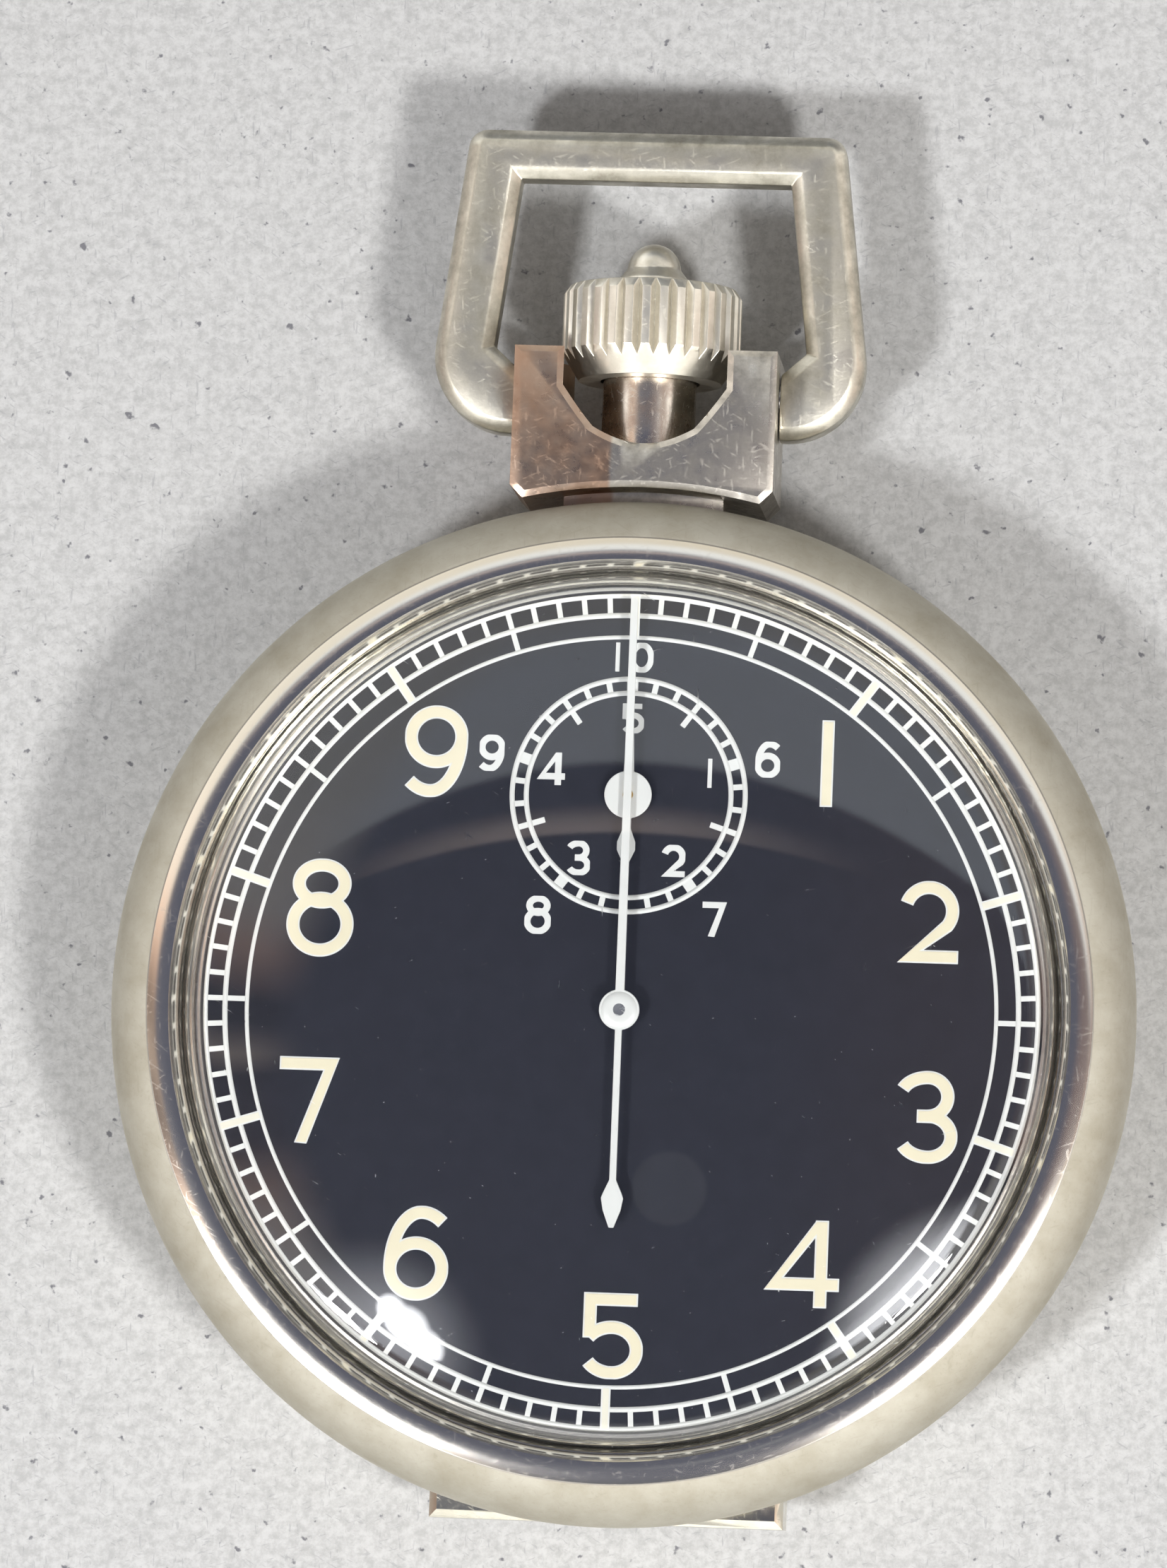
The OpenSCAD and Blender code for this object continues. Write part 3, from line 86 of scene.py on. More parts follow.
def mesh_from(name, bm, smooth_deg=None):
    """Closes off a bmesh as a mesh with outward faces."""
    bmesh.ops.recalc_face_normals(bm, faces=bm.faces)
    mesh = bpy.data.meshes.new(name)
    bm.to_mesh(mesh)
    bm.free()
    if smooth_deg is not None:
        soften(mesh, smooth_deg)
    return mesh


def soften(mesh, degrees):
    """Smooth shading, with sharp edges kept where the faces meet at more than the angle."""
    mesh.shade_smooth()
    mesh.set_sharp_from_angle(angle=math.radians(degrees))


def lathe(name, profile, segments, smooth_deg):
    """Solid turned about Z from a closed profile of (radius, height) points in millimetres."""
    bm = bmesh.new()
    rings = []
    for k in range(segments):
        a = FULL_TURN * k / segments
        rings.append([bm.verts.new((r * MM * math.cos(a), r * MM * math.sin(a), z * MM)) for r, z in profile])
    count = len(profile)
    for k in range(segments):
        here, there = rings[k], rings[(k + 1) % segments]
        for i in range(count):
            j = (i + 1) % count
            if profile[i][0] == 0 and profile[j][0] == 0:
                continue
            bm.faces.new((here[i], here[j], there[j], there[i]))
    bmesh.ops.remove_doubles(bm, verts=bm.verts, dist=1e-8)
    return mesh_from(name, bm, smooth_deg)


def arc(centre, radius, start, end, steps):
    """Points of an arc in degrees, as (radius, height) pairs."""
    out = []
    for i in range(steps + 1):
        a = math.radians(start + (end - start) * i / steps)
        out.append((centre[0] + radius * math.cos(a), centre[1] + radius * math.sin(a)))
    return out


def finished_copy(node, name, edge_mm, lip=None):
    """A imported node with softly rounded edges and, where asked, a slanted lip round its top face."""
    bm = bmesh.new()
    bm.from_mesh(NODES[node].data)
    bmesh.ops.remove_doubles(bm, verts=bm.verts, dist=MERGE)
    bmesh.ops.dissolve_limit(bm, angle_limit=math.radians(FLAT_DEG), verts=bm.verts, edges=bm.edges)
    if lip:
        add_lip(bm, *lip)
    mesh = bpy.data.meshes.new(name)
    bm.to_mesh(mesh)
    bm.free()
    soften(mesh, CREASE_DEG)
    obj = new_object(name, mesh)
    bevel = obj.modifiers.new("Edges", "BEVEL")
    bevel.width = edge_mm * MM
    bevel.segments = 2
    bevel.limit_method = "ANGLE"
    bevel.angle_limit = math.radians(EDGE_DEG)
    bevel.use_clamp_overlap = True
    bevel.harden_normals = True
    return settle(obj)


def add_lip(bm, width_mm, drop_mm):
    """Slants the rim of the highest flat face down to its outline."""
    bm.normal_update()
    top = max(v.co.z for v in bm.verts)
    flat = [f for f in bm.faces if f.normal.z > 0.999 and abs(f.calc_center_median().z - top) < 1e-6]
    rim = bmesh.ops.inset_region(
        bm, faces=flat, thickness=width_mm * MM, use_boundary=True, use_even_offset=True)
    # The lip's faces take the second slot, which holds the painted highlight
    for face in rim["faces"]:
        face.material_index = 1
    kept = {v for f in flat for v in f.verts}
    for v in bm.verts:
        if abs(v.co.z - top) < 1e-7 and v not in kept:
            v.co.z -= drop_mm * MM


def settle(obj):
    """Turns an object's modifiers into plain mesh."""
    graph = bpy.context.evaluated_depsgraph_get()
    mesh = bpy.data.meshes.new_from_object(obj.evaluated_get(graph))
    obj.modifiers.clear()
    obj.data = mesh
    return obj


def place(obj, body, material=None, replaces=()):
    """Gives a finished piece its body, slot and material."""
    if material is not None:
        obj.data.materials.clear()
        obj.data.materials.append(material)
    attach(obj, body)
    if replaces:
        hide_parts(*replaces)
    return obj


# Numerals, drawn as strokes in millimetres: line points, and arcs as
# (centre x, centre y, radius right, radius left, radius up, start, end) in degrees

NUMERAL_WIDTH = 0.66
# Weight of the small numerals' strokes, and points in a full turn of a stroke
SMALL_WEIGHT, ROUND_POINTS = 1.3, 60
# Box, closed strokes and open strokes of each digit
NUMERALS = {
    "0": ((0, 0, 3.3, 4.2), [[(1.65, 2.1, 1.32, 1.32, 1.77, 0, 360)]], []),
    "1": ((3.55, 0.5, 4.17, 4.83), [], [[(3.86, 4.83), (3.86, 0.5)]]),
    "2": ((1.67, 0.87, 4.7, 4.97), [], [
        [(3.17, 3.47, 1.18, 1.15, 1.18, 162, -38), (1.95, 1.2), (4.7, 1.2)]]),
    "3": ((1.88, 0.92, 4.97, 5.53), [], [
        [(3.45, 4.24, 0.98, 1.35, 0.96, 158, -90)],
        [(3.5, 2.26, 1.15, 1.38, 1.02, 90, -154)],
        [(2.92, 3.27), (3.6, 3.27)]]),
    "4": ((1.63, 1.58, 5.37, 5.92), [], [
        [(5.37, 2.74), (1.96, 2.74), (4.42, 6.0)],
        [(4.44, 5.92), (4.44, 1.58)]]),
    "5": ((1.58, 0.7, 4.75, 4.97), [], [
        [(4.42, 4.65), (2.06, 4.65), (2.06, 2.72)],
        [(3.2, 2.14, 1.23, 1.38, 1.13, 148, -148)]]),
    "6": ((0.67, 1.25, 3.92, 5.97), [
        [(2.3, 2.84, 1.3, 1.3, 1.27, 0, 360)]], [
        [(2.5, 2.95, 1.85, 1.5, 2.7, 55, 182)]]),
    "7": ((1.08, 0.87, 4.08, 5.2), [], [
        [(1.08, 4.87), (3.74, 4.87), (2.26, 0.8)]]),
    "8": ((1.08, 0.2, 4.5, 5.13), [
        [(2.83, 3.88, 1.15, 1.15, 0.93, 0, 360)],
        [(2.8, 1.84, 1.36, 1.36, 1.3, 0, 360)]], []),
    "9": ((0.7, 0.38, 3.87, 5.0), [
        [(2.28, 3.42, 1.27, 1.27, 1.25, 0, 360)]], [
        [(2.05, 3.4, 1.5, 1.85, 2.7, -125, 2)]]),
}

# Digit, centre on the dial, height
SECONDS = [
    ("1", (9.86, 12.67), 4.33), ("2", (15.19, 4.92), 4.1), ("3", (15.43, -4.78), 4.61),
    ("4", (9.5, -12.25), 4.34), ("5", (0.17, -16.16), 4.27), ("6", (-9.71, -12.39), 4.72),
    ("7", (-15.42, -4.97), 4.33), ("8", (-15.21, 4.67), 4.93), ("9", (-9.72, 12.69), 4.62),
]
MINUTES = [
    ("1", (-0.8, 17.7), 1.46), ("0", (0.4, 17.7), 1.5), ("6", (6.89, 12.78), 1.8), ("7", (4.51, 4.71), 1.75),
    ("8", (-4.31, 4.66), 1.9), ("9", (-6.92, 12.7), 1.82), ("5", (0.08, 14.64), 1.49),
    ("1", (4.02, 12.01), 1.46), ("2", (2.36, 7.57), 1.6), ("3", (-2.38, 7.57), 1.72), ("4", (-3.92, 12.0), 1.63),
]
# Share of the tables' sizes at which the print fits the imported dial
DIAL_SCALE = 0.9925


def stroke_points(stroke):
    """The points of a stroke's lines and arcs, in order."""
    points = []
    for item in stroke:
        if len(item) == 2:
            points.append(Vector(item))
            continue
        cx, cy, right, left, up, start, end = item
        count = max(4, int(abs(end - start) / 360 * ROUND_POINTS))
        for i in range(count + 1):
            if abs(end - start) == 360 and i == count:
                break
            a = math.radians(start + (end - start) * i / count)
            wide = right if math.cos(a) > 0 else left
            points.append(Vector((cx + wide * math.cos(a), cy + up * math.sin(a))))
    return points


def trimmed(points, length):
    """The stroke with a length taken off each end."""
    for _ in range(2):
        points = points[::-1]
        step = points[1] - points[0]
        if step.length > length:
            points = [points[0] + step.normalized() * length] + points[1:]
        else:
            points = points[1:]
    return points


def stroke_sides(points, half, closed):
    """Left and right edge of a stroke, with its corners mitred."""
    left, right = [], []
    count = len(points)
    for i, p in enumerate(points):
        before = points[(i - 1) % count] if closed or i > 0 else None
        after = points[(i + 1) % count] if closed or i < count - 1 else None
        d1 = (p - before).normalized() if before is not None else (after - p).normalized()
        d2 = (after - p).normalized() if after is not None else d1
        bend = (d1 + d2).normalized()
        side = Vector((-bend.y, bend.x))
        reach = half / max(0.25, side.dot(Vector((-d1.y, d1.x))))
        left.append(p + side * reach)
        right.append(p - side * reach)
    return left, right


def add_stroke(bm, points, half, closed, box, place_point, low, high):
    """Adds one raised stroke as a closed solid."""
    def inside(p):
        return Vector((min(max(p.x, box[0]), box[2]), min(max(p.y, box[1]), box[3])))

    left, right = stroke_sides(points, half, closed)
    rows = []
    for a, b in zip(left, right):
        a, b = place_point(inside(a)), place_point(inside(b))
        corners = ((a, high), (b, high), (b, low), (a, low))
        rows.append([bm.verts.new((q.x * MM, q.y * MM, z * MM)) for q, z in corners])
    pairs = list(zip(rows, rows[1:])) + ([(rows[-1], rows[0])] if closed else [])
    for here, there in pairs:
        for i in range(4):
            j = (i + 1) % 4
            bm.faces.new((here[i], here[j], there[j], there[i]))
    if not closed:
        bm.faces.new(rows[0])
        bm.faces.new(rows[-1][::-1])


def numerals(name, table, base, height, inset, weight):
    """Raised numerals on the dial. Inset narrows every stroke, for paint inside an outline."""
    bm = bmesh.new()
    for digit, centre, tall in table:
        (x0, y0, x1, y1), rings, lines = NUMERALS[digit]
        size = tall / (y1 - y0)
        narrow = inset / size
        half = NUMERAL_WIDTH / 2 * weight - narrow
        box = (x0 + narrow, y0 + narrow, x1 - narrow, y1 - narrow)
        middle = Vector(((x0 + x1) / 2, (y0 + y1) / 2))
        target = Vector(centre)

        def place_point(p):
            return (target + (p - middle) * size) * DIAL_SCALE

        strokes = [(s, True) for s in rings] + [(s, False) for s in lines]
        for k, (stroke, closed) in enumerate(strokes):
            points = stroke_points(stroke)
            if not closed and narrow > 0:
                points = trimmed(points, narrow)
            add_stroke(bm, points, half, closed, box, place_point, base, base + height - 0.001 * k)
    return new_object(name, mesh_from(name, bm))


# Geometry node trees for what repeats round the dial

def add_node(tree, kind, inputs=None, **settings):
    """A new node, with sockets linked and values set."""
    n = tree.nodes.new(kind)
    for key, value in settings.items():
        setattr(n, key, value)
    for key, value in (inputs or {}).items():
        if isinstance(value, bpy.types.NodeSocket):
            tree.links.new(value, n.inputs[key])
        else:
            n.inputs[key].default_value = value
    return n


def calc(tree, operation, a, b=0.0):
    """The result of one step of arithmetic on two numbers or sockets."""
    return add_node(tree, "ShaderNodeMath", {0: a, 1: b}, operation=operation).outputs[0]


def times(tree, a, b):
    """The product of two numbers or sockets."""
    return calc(tree, "MULTIPLY", a, b)


def plus(tree, a, b):
    """The sum of two numbers or sockets."""
    return calc(tree, "ADD", a, b)


def minus(tree, a, b):
    """The first number or socket less the second."""
    return calc(tree, "SUBTRACT", a, b)


def length_of(tree, vector):
    """The length of a vector socket."""
    return add_node(tree, "ShaderNodeVectorMath", {0: vector}, operation="LENGTH").outputs["Value"]


def new_tree(name, kind, inputs, outputs):
    """A node group with named inputs and outputs. Returns the tree, its input node and its output node."""
    tree = bpy.data.node_groups.new(name, kind)
    for label, socket, default in inputs:
        made = tree.interface.new_socket(name=label, in_out="INPUT", socket_type=socket)
        if default is not None:
            made.default_value = default
    for label, socket in outputs:
        tree.interface.new_socket(name=label, in_out="OUTPUT", socket_type=socket)
    return tree, tree.nodes.new("NodeGroupInput"), tree.nodes.new("NodeGroupOutput")


FLOAT, INTEGER, GEOMETRY = "NodeSocketFloat", "NodeSocketInt", "NodeSocketGeometry"


def bars_tree():
    """Radial bars, evenly spaced round the origin."""
    tree, enter, leave = new_tree("radial_bars", "GeometryNodeTree", [
        ("Count", INTEGER, 10), ("Inner", FLOAT, 0.018), ("Outer", FLOAT, 0.02), ("Width", FLOAT, 0.0003),
        ("Base", FLOAT, 0.0), ("Height", FLOAT, 0.00002), ("Start", FLOAT, 0.0)], [("Geometry", GEOMETRY)])
    at = enter.outputs
    points = add_node(tree, "GeometryNodeMeshLine", {
        "Count": at["Count"], "Offset": (0.0, 0.0, 0.0)}, mode="OFFSET", count_mode="TOTAL")
    length = minus(tree, at["Outer"], at["Inner"])
    size = add_node(tree, "ShaderNodeCombineXYZ", {"X": at["Width"], "Y": length, "Z": at["Height"]})
    bar = add_node(tree, "GeometryNodeMeshCube", {"Size": size.outputs[0]})
    middle = times(tree, plus(tree, at["Inner"], at["Outer"]), 0.5)
    lift = plus(tree, at["Base"], times(tree, at["Height"], 0.5))
    move = add_node(tree, "ShaderNodeCombineXYZ", {"Y": middle, "Z": lift})
    moved = add_node(tree, "GeometryNodeTransform", {"Geometry": bar.outputs["Mesh"], "Translation": move.outputs[0]})
    index = add_node(tree, "GeometryNodeInputIndex")
    step = calc(tree, "DIVIDE", -FULL_TURN, at["Count"])
    angle = plus(tree, times(tree, index.outputs[0], step), at["Start"])
    turn = add_node(tree, "ShaderNodeCombineXYZ", {"Z": angle})
    spread = add_node(tree, "GeometryNodeInstanceOnPoints", {
        "Points": points.outputs[0], "Instance": moved.outputs[0], "Rotation": turn.outputs[0]})
    real = add_node(tree, "GeometryNodeRealizeInstances", {"Geometry": spread.outputs[0]})
    tree.links.new(real.outputs[0], leave.inputs[0])
    return tree


def line_tree():
    """A flat ring of square section round the origin."""
    tree, enter, leave = new_tree("ring_line", "GeometryNodeTree", [
        ("Radius", FLOAT, 0.02), ("Width", FLOAT, 0.0003), ("Base", FLOAT, 0.0), ("Height", FLOAT, 0.00002),
        ("Segments", INTEGER, 256)], [("Geometry", GEOMETRY)])
    at = enter.outputs
    path = add_node(tree, "GeometryNodeCurvePrimitiveCircle", {
        "Resolution": at["Segments"], "Radius": at["Radius"]}, mode="RADIUS")
    section = add_node(tree, "GeometryNodeCurvePrimitiveQuadrilateral", {
        "Width": at["Width"], "Height": at["Height"]}, mode="RECTANGLE")
    swept = add_node(tree, "GeometryNodeCurveToMesh", {
        "Curve": path.outputs[0], "Profile Curve": section.outputs[0]})
    lift = plus(tree, at["Base"], times(tree, at["Height"], 0.5))
    move = add_node(tree, "ShaderNodeCombineXYZ", {"Z": lift})
    moved = add_node(tree, "GeometryNodeTransform", {"Geometry": swept.outputs[0], "Translation": move.outputs[0]})
    tree.links.new(moved.outputs[0], leave.inputs[0])
    return tree


def track_tree(name, bars, lines, centre, material):
    """Rows of bars and lines joined as one scale. Each row names its sizes in millimetres."""
    tree, enter, leave = new_tree(name, "GeometryNodeTree", [
        ("Geometry", GEOMETRY, None), ("Base", FLOAT, DIAL_TOP * MM), ("Height", FLOAT, 0.02 * MM)],
        [("Geometry", GEOMETRY)])
    join = tree.nodes.new("GeometryNodeJoinGeometry")
    at = enter.outputs
    for level, (count, inner, outer, width, start) in enumerate(bars, 1):
        row = tree.nodes.new("GeometryNodeGroup")
        row.node_tree = bpy.data.node_groups["radial_bars"]
        for key, value in (("Count", count), ("Inner", inner * MM), ("Outer", outer * MM),
                           ("Width", width * MM), ("Start", -math.radians(start))):
            row.inputs[key].default_value = value
        tree.links.new(at["Base"], row.inputs["Base"])
        tree.links.new(times(tree, at["Height"], 1 - 0.1 * level), row.inputs["Height"])
        tree.links.new(row.outputs[0], join.inputs[0])
    for radius, width in lines:
        row = tree.nodes.new("GeometryNodeGroup")
        row.node_tree = bpy.data.node_groups["ring_line"]
        for key, value in (("Radius", radius * MM), ("Width", width * MM)):
            row.inputs[key].default_value = value
        tree.links.new(at["Base"], row.inputs["Base"])
        tree.links.new(at["Height"], row.inputs["Height"])
        tree.links.new(row.outputs[0], join.inputs[0])
    moved = add_node(tree, "GeometryNodeTransform", {
        "Geometry": join.outputs[0], "Translation": (centre[0] * MM, centre[1] * MM, 0.0)})
    real = add_node(tree, "GeometryNodeRealizeInstances", {"Geometry": moved.outputs[0]})
    painted = add_node(tree, "GeometryNodeSetMaterial", {"Geometry": real.outputs[0], "Material": material})
    tree.links.new(painted.outputs[0], leave.inputs[0])
    return tree


def grown(name, tree, base, height):
    """Runs a scale's tree on an empty mesh at a height above the dial, and keeps the result as a plain mesh."""
    values = {"Base": (DIAL_TOP + base) * MM, "Height": height * MM}
    obj = new_object(name, bpy.data.meshes.new(name))
    modifier = obj.modifiers.new("Scale", "NODES")
    modifier.node_group = tree
    for item in tree.interface.items_tree:
        if item.item_type == "SOCKET" and item.in_out == "INPUT" and item.name in values:
            modifier[item.identifier] = values[item.name]
    settle(obj)
    bm = bmesh.new()
    bm.from_mesh(obj.data)
    bmesh.ops.recalc_face_normals(bm, faces=bm.faces)
    bm.to_mesh(obj.data)
    bm.free()
    return obj


# Shader groups and materials

# How many times longer than wide a scratch and a brushed line are
SCRATCH_STRETCH, BRUSH_STRETCH = 22.0, 26.0


def shader_start(tree, scale, stretch=(1.0, 1.0, 1.0), turn=(0.0, 0.0, 0.0)):
    """Object coordinates, turned and stretched, ready for a texture."""
    where = add_node(tree, "ShaderNodeTexCoord")
    return add_node(tree, "ShaderNodeMapping", {
        "Vector": where.outputs["Object"], "Rotation": turn,
        "Scale": tuple(1 / (scale * s) for s in stretch)}, vector_type="TEXTURE").outputs[0]


def noise(tree, where, scale, detail, rough=0.5):
    """Cloudy noise, from 0 to 1."""
    return add_node(tree, "ShaderNodeTexNoise", {
        "Vector": where, "Scale": scale, "Detail": detail, "Roughness": rough}).outputs["Fac"]


def scratches_group():
    """Fine straight scratches in three directions, as a mask from 0 to 1."""
    tree, enter, leave = new_tree("fine_scratches", "ShaderNodeTree", [
        ("Density", FLOAT, 0.64), ("Softness", FLOAT, 0.05)], [("Mask", FLOAT)])
    best = None
    for k, (turn, scale) in enumerate(((0.35, 300.0), (1.6, 240.0), (2.6, 340.0))):
        spot = shader_start(tree, scale, (1.0, SCRATCH_STRETCH, SCRATCH_STRETCH), (0.1 * k, 0.2, turn))
        lines = noise(tree, spot, 1.0, 2.0)
        high = plus(tree, enter.outputs["Density"], enter.outputs["Softness"])
        line = add_node(tree, "ShaderNodeMapRange", {
            "Value": lines, "From Min": enter.outputs["Density"], "From Max": high})
        best = line.outputs[0] if best is None else calc(tree, "MAXIMUM", best, line.outputs[0])
    tree.links.new(best, leave.inputs[0])
    return tree


def grain_group():
    """Fine grain for bump and broad blotches for colour, both from 0 to 1."""
    tree, enter, leave = new_tree("metal_grain", "ShaderNodeTree", [
        ("Grain Scale", FLOAT, 9000.0), ("Blotch Scale", FLOAT, 420.0)], [("Grain", FLOAT), ("Blotch", FLOAT)])
    where = add_node(tree, "ShaderNodeTexCoord").outputs["Object"]
    grain = noise(tree, where, enter.outputs["Grain Scale"], 3.0)
    blotch = noise(tree, where, enter.outputs["Blotch Scale"], 6.0, 0.65)
    wide = add_node(tree, "ShaderNodeMapRange", {"Value": blotch, "From Min": 0.35, "From Max": 0.7})
    tree.links.new(grain, leave.inputs["Grain"])
    tree.links.new(wide.outputs[0], leave.inputs["Blotch"])
    return tree


def brush_group():
    """Brushed lines along X, from 0 to 1."""
    tree, enter, leave = new_tree("brushed_lines", "ShaderNodeTree", [("Detail", FLOAT, 4.0)], [("Lines", FLOAT)])
    spot = shader_start(tree, 400.0, (1.0, BRUSH_STRETCH, BRUSH_STRETCH))
    tree.links.new(noise(tree, spot, 1.0, enter.outputs["Detail"], 0.6), leave.inputs[0])
    return tree


def use_group(tree, name, **values):
    """A shared node group with its own values."""
    n = tree.nodes.new("ShaderNodeGroup")
    n.node_tree = bpy.data.node_groups[name]
    for key, value in values.items():
        n.inputs[key.replace("_", " ")].default_value = value
    return n


def finish(name):
    """A finish by its plain name."""
    return bpy.data.materials[name + FINISH]


def blank_material(name, **values):
    """A material with one Principled shader. Returns the material, its tree and the shader."""
    mat = bpy.data.materials.new(name + FINISH)
    mat.use_nodes = True
    tree = mat.node_tree
    tree.nodes.clear()
    out = tree.nodes.new("ShaderNodeOutputMaterial")
    shader = tree.nodes.new("ShaderNodeBsdfPrincipled")
    tree.links.new(shader.outputs[0], out.inputs["Surface"])
    for key, value in values.items():
        shader.inputs[key.replace("_", " ")].default_value = value
    return mat, tree, shader


def colour_between(tree, mask, first, second):
    """Mixes two colours, each a tuple or a socket."""
    mix = add_node(tree, "ShaderNodeMix", {"Factor": mask}, data_type="RGBA")
    for slot, colour in ((6, first), (7, second)):
        if isinstance(colour, bpy.types.NodeSocket):
            tree.links.new(colour, mix.inputs[slot])
        else:
            mix.inputs[slot].default_value = (*colour, 1)
    return mix.outputs[2]


def step_up(tree, value, low, high):
    """0 below the first value, 1 above the second, with a soft change between."""
    return add_node(tree, "ShaderNodeMapRange", {
        "Value": value, "From Min": low, "From Max": high}, interpolation_type="SMOOTHSTEP").outputs[0]


def colour_ramp(tree, value, table):
    """Colours at set places between 0 and 1."""
    ramp = add_node(tree, "ShaderNodeValToRGB", {0: value})
    stops = ramp.color_ramp.elements
    for stop, (position, colour) in zip(stops, (table[0], table[-1])):
        stop.position, stop.color = position, (*colour, 1)
    for position, colour in table[1:-1]:
        stops.new(position).color = (*colour, 1)
    return ramp.outputs[0]


def value_between(tree, mask, low, high):
    """Mixes two numbers."""
    return add_node(tree, "ShaderNodeMapRange", {"Value": mask, "To Min": low, "To Max": high}).outputs[0]


def bump(tree, shader, height, strength, distance_mm):
    """Gives a shader a fine relief."""
    n = add_node(tree, "ShaderNodeBump", {
        "Height": height, "Strength": strength, "Distance": distance_mm * MM})
    tree.links.new(n.outputs[0], shader.inputs["Normal"])


def tinted(colour, factor):
    """A colour made darker or lighter."""
    return tuple(c * factor for c in colour)


def metal(name, colour, tarnish, rough, rough_worn, scratch=0.12, brushed=False,
          grain=0.3, metallic=1.0, blotch=420.0):
    """Worn metal: blotches of tarnish, fine grain or brushing, and scratches."""
    mat, tree, shader = blank_material(name, Metallic=metallic)
    worn = use_group(tree, "metal_grain", Blotch_Scale=blotch)
    marks = use_group(tree, "fine_scratches")
    tree.links.new(colour_between(tree, worn.outputs["Blotch"], colour, tarnish), shader.inputs["Base Color"])
    texture = use_group(tree, "brushed_lines").outputs[0] if brushed else worn.outputs["Grain"]
    base = value_between(tree, worn.outputs["Blotch"], rough, rough_worn)
    dulled = plus(tree, base, times(tree, marks.outputs[0], 0.08))
    tree.links.new(dulled, shader.inputs["Roughness"])
    height = minus(tree, times(tree, texture, grain), times(tree, marks.outputs[0], scratch))
    bump(tree, shader, height, 0.35, 0.01)
    return mat


# Bezel: polished metal, the painted dark line where it meets the satin, which is painted shade and not a colour of
# the metal, half the width of that line, and two roughnesses
POLISH, SHADE_LINE, SHADE_LINE_HALF_MM = (0.88, 0.83, 0.74), (0.12, 0.11, 0.10), 0.05
POLISH_ROUGH, SATIN_ROUGH = 0.16, 0.74


def bezel_material(name, colour, tarnish, edge_mm):
    """Satin outer band and polished inner rim, divided at a radius, with a painted shade line where they meet."""
    mat, tree, shader = blank_material(name, Metallic=1.0)
    where = add_node(tree, "ShaderNodeTexCoord").outputs["Object"]
    flat = add_node(tree, "ShaderNodeVectorMath", {0: where, 1: (1.0, 1.0, 0.0)}, operation="MULTIPLY")
    radius = length_of(tree, flat.outputs[0])
    satin = add_node(tree, "ShaderNodeMapRange", {
        "Value": radius, "From Min": (edge_mm - SHADE_LINE_HALF_MM) * MM,
        "From Max": (edge_mm + SHADE_LINE_HALF_MM) * MM}).outputs[0]
    worn = use_group(tree, "metal_grain")
    marks = use_group(tree, "fine_scratches")
    dull = colour_between(tree, worn.outputs["Blotch"], colour, tarnish)
    # Painted shade: a dark line where the polish meets the satin
    line = times(tree, times(tree, satin, minus(tree, 1.0, satin)), 3.0)
    both = colour_between(tree, satin, POLISH, dull)
    tree.links.new(colour_between(tree, line, both, SHADE_LINE), shader.inputs["Base Color"])
    rough = value_between(tree, satin, POLISH_ROUGH, SATIN_ROUGH)
    dulled = plus(tree, rough, times(tree, marks.outputs[0], 0.05))
    tree.links.new(dulled, shader.inputs["Roughness"])
    blotch = times(tree, worn.outputs["Blotch"], 0.4)
    height = times(tree, plus(tree, worn.outputs["Grain"], blotch), satin)
    bump(tree, shader, height, 0.2, 0.01)
    return mat


def tinted_metal(name, colour, tint, edge_mm):
    """Bright brushed metal with a warm tint on its left, as far as an edge across X."""
    mat = metal(name, colour, tinted(colour, 0.50), 0.26, 0.38, 0.03, True, 0.6, blotch=1100.0)
    tree = mat.node_tree
    shader = next(n for n in tree.nodes if n.type == "BSDF_PRINCIPLED")
    clean = shader.inputs["Base Color"].links[0].from_socket
    where = add_node(tree, "ShaderNodeTexCoord").outputs["Object"]
    wobble = noise(tree, where, 700.0, 3.0)
    across = add_node(tree, "ShaderNodeSeparateXYZ", {0: where}).outputs["X"]
    shifted = plus(tree, across, times(tree, wobble, 0.3 * MM))
    side = step_up(tree, shifted, (edge_mm - 0.1) * MM, (edge_mm + 0.15) * MM)
    patch = times(tree, minus(tree, 1.0, side), value_between(tree, wobble, 0.4, 1.3))
    tree.links.new(colour_between(tree, patch, clean, tint), shader.inputs["Base Color"])
    return mat


def paint(name, colour, darker, rough, gloss=0.5):
    """Thin printed paint or enamel with a slightly uneven surface."""
    mat, tree, shader = blank_material(name, Roughness=rough, Specular_IOR_Level=gloss)
    worn = use_group(tree, "metal_grain", Grain_Scale=7000.0, Blotch_Scale=900.0)
    tree.links.new(colour_between(tree, worn.outputs["Blotch"], colour, darker), shader.inputs["Base Color"])
    bump(tree, shader, worn.outputs["Grain"], 0.25, 0.01)
    return mat


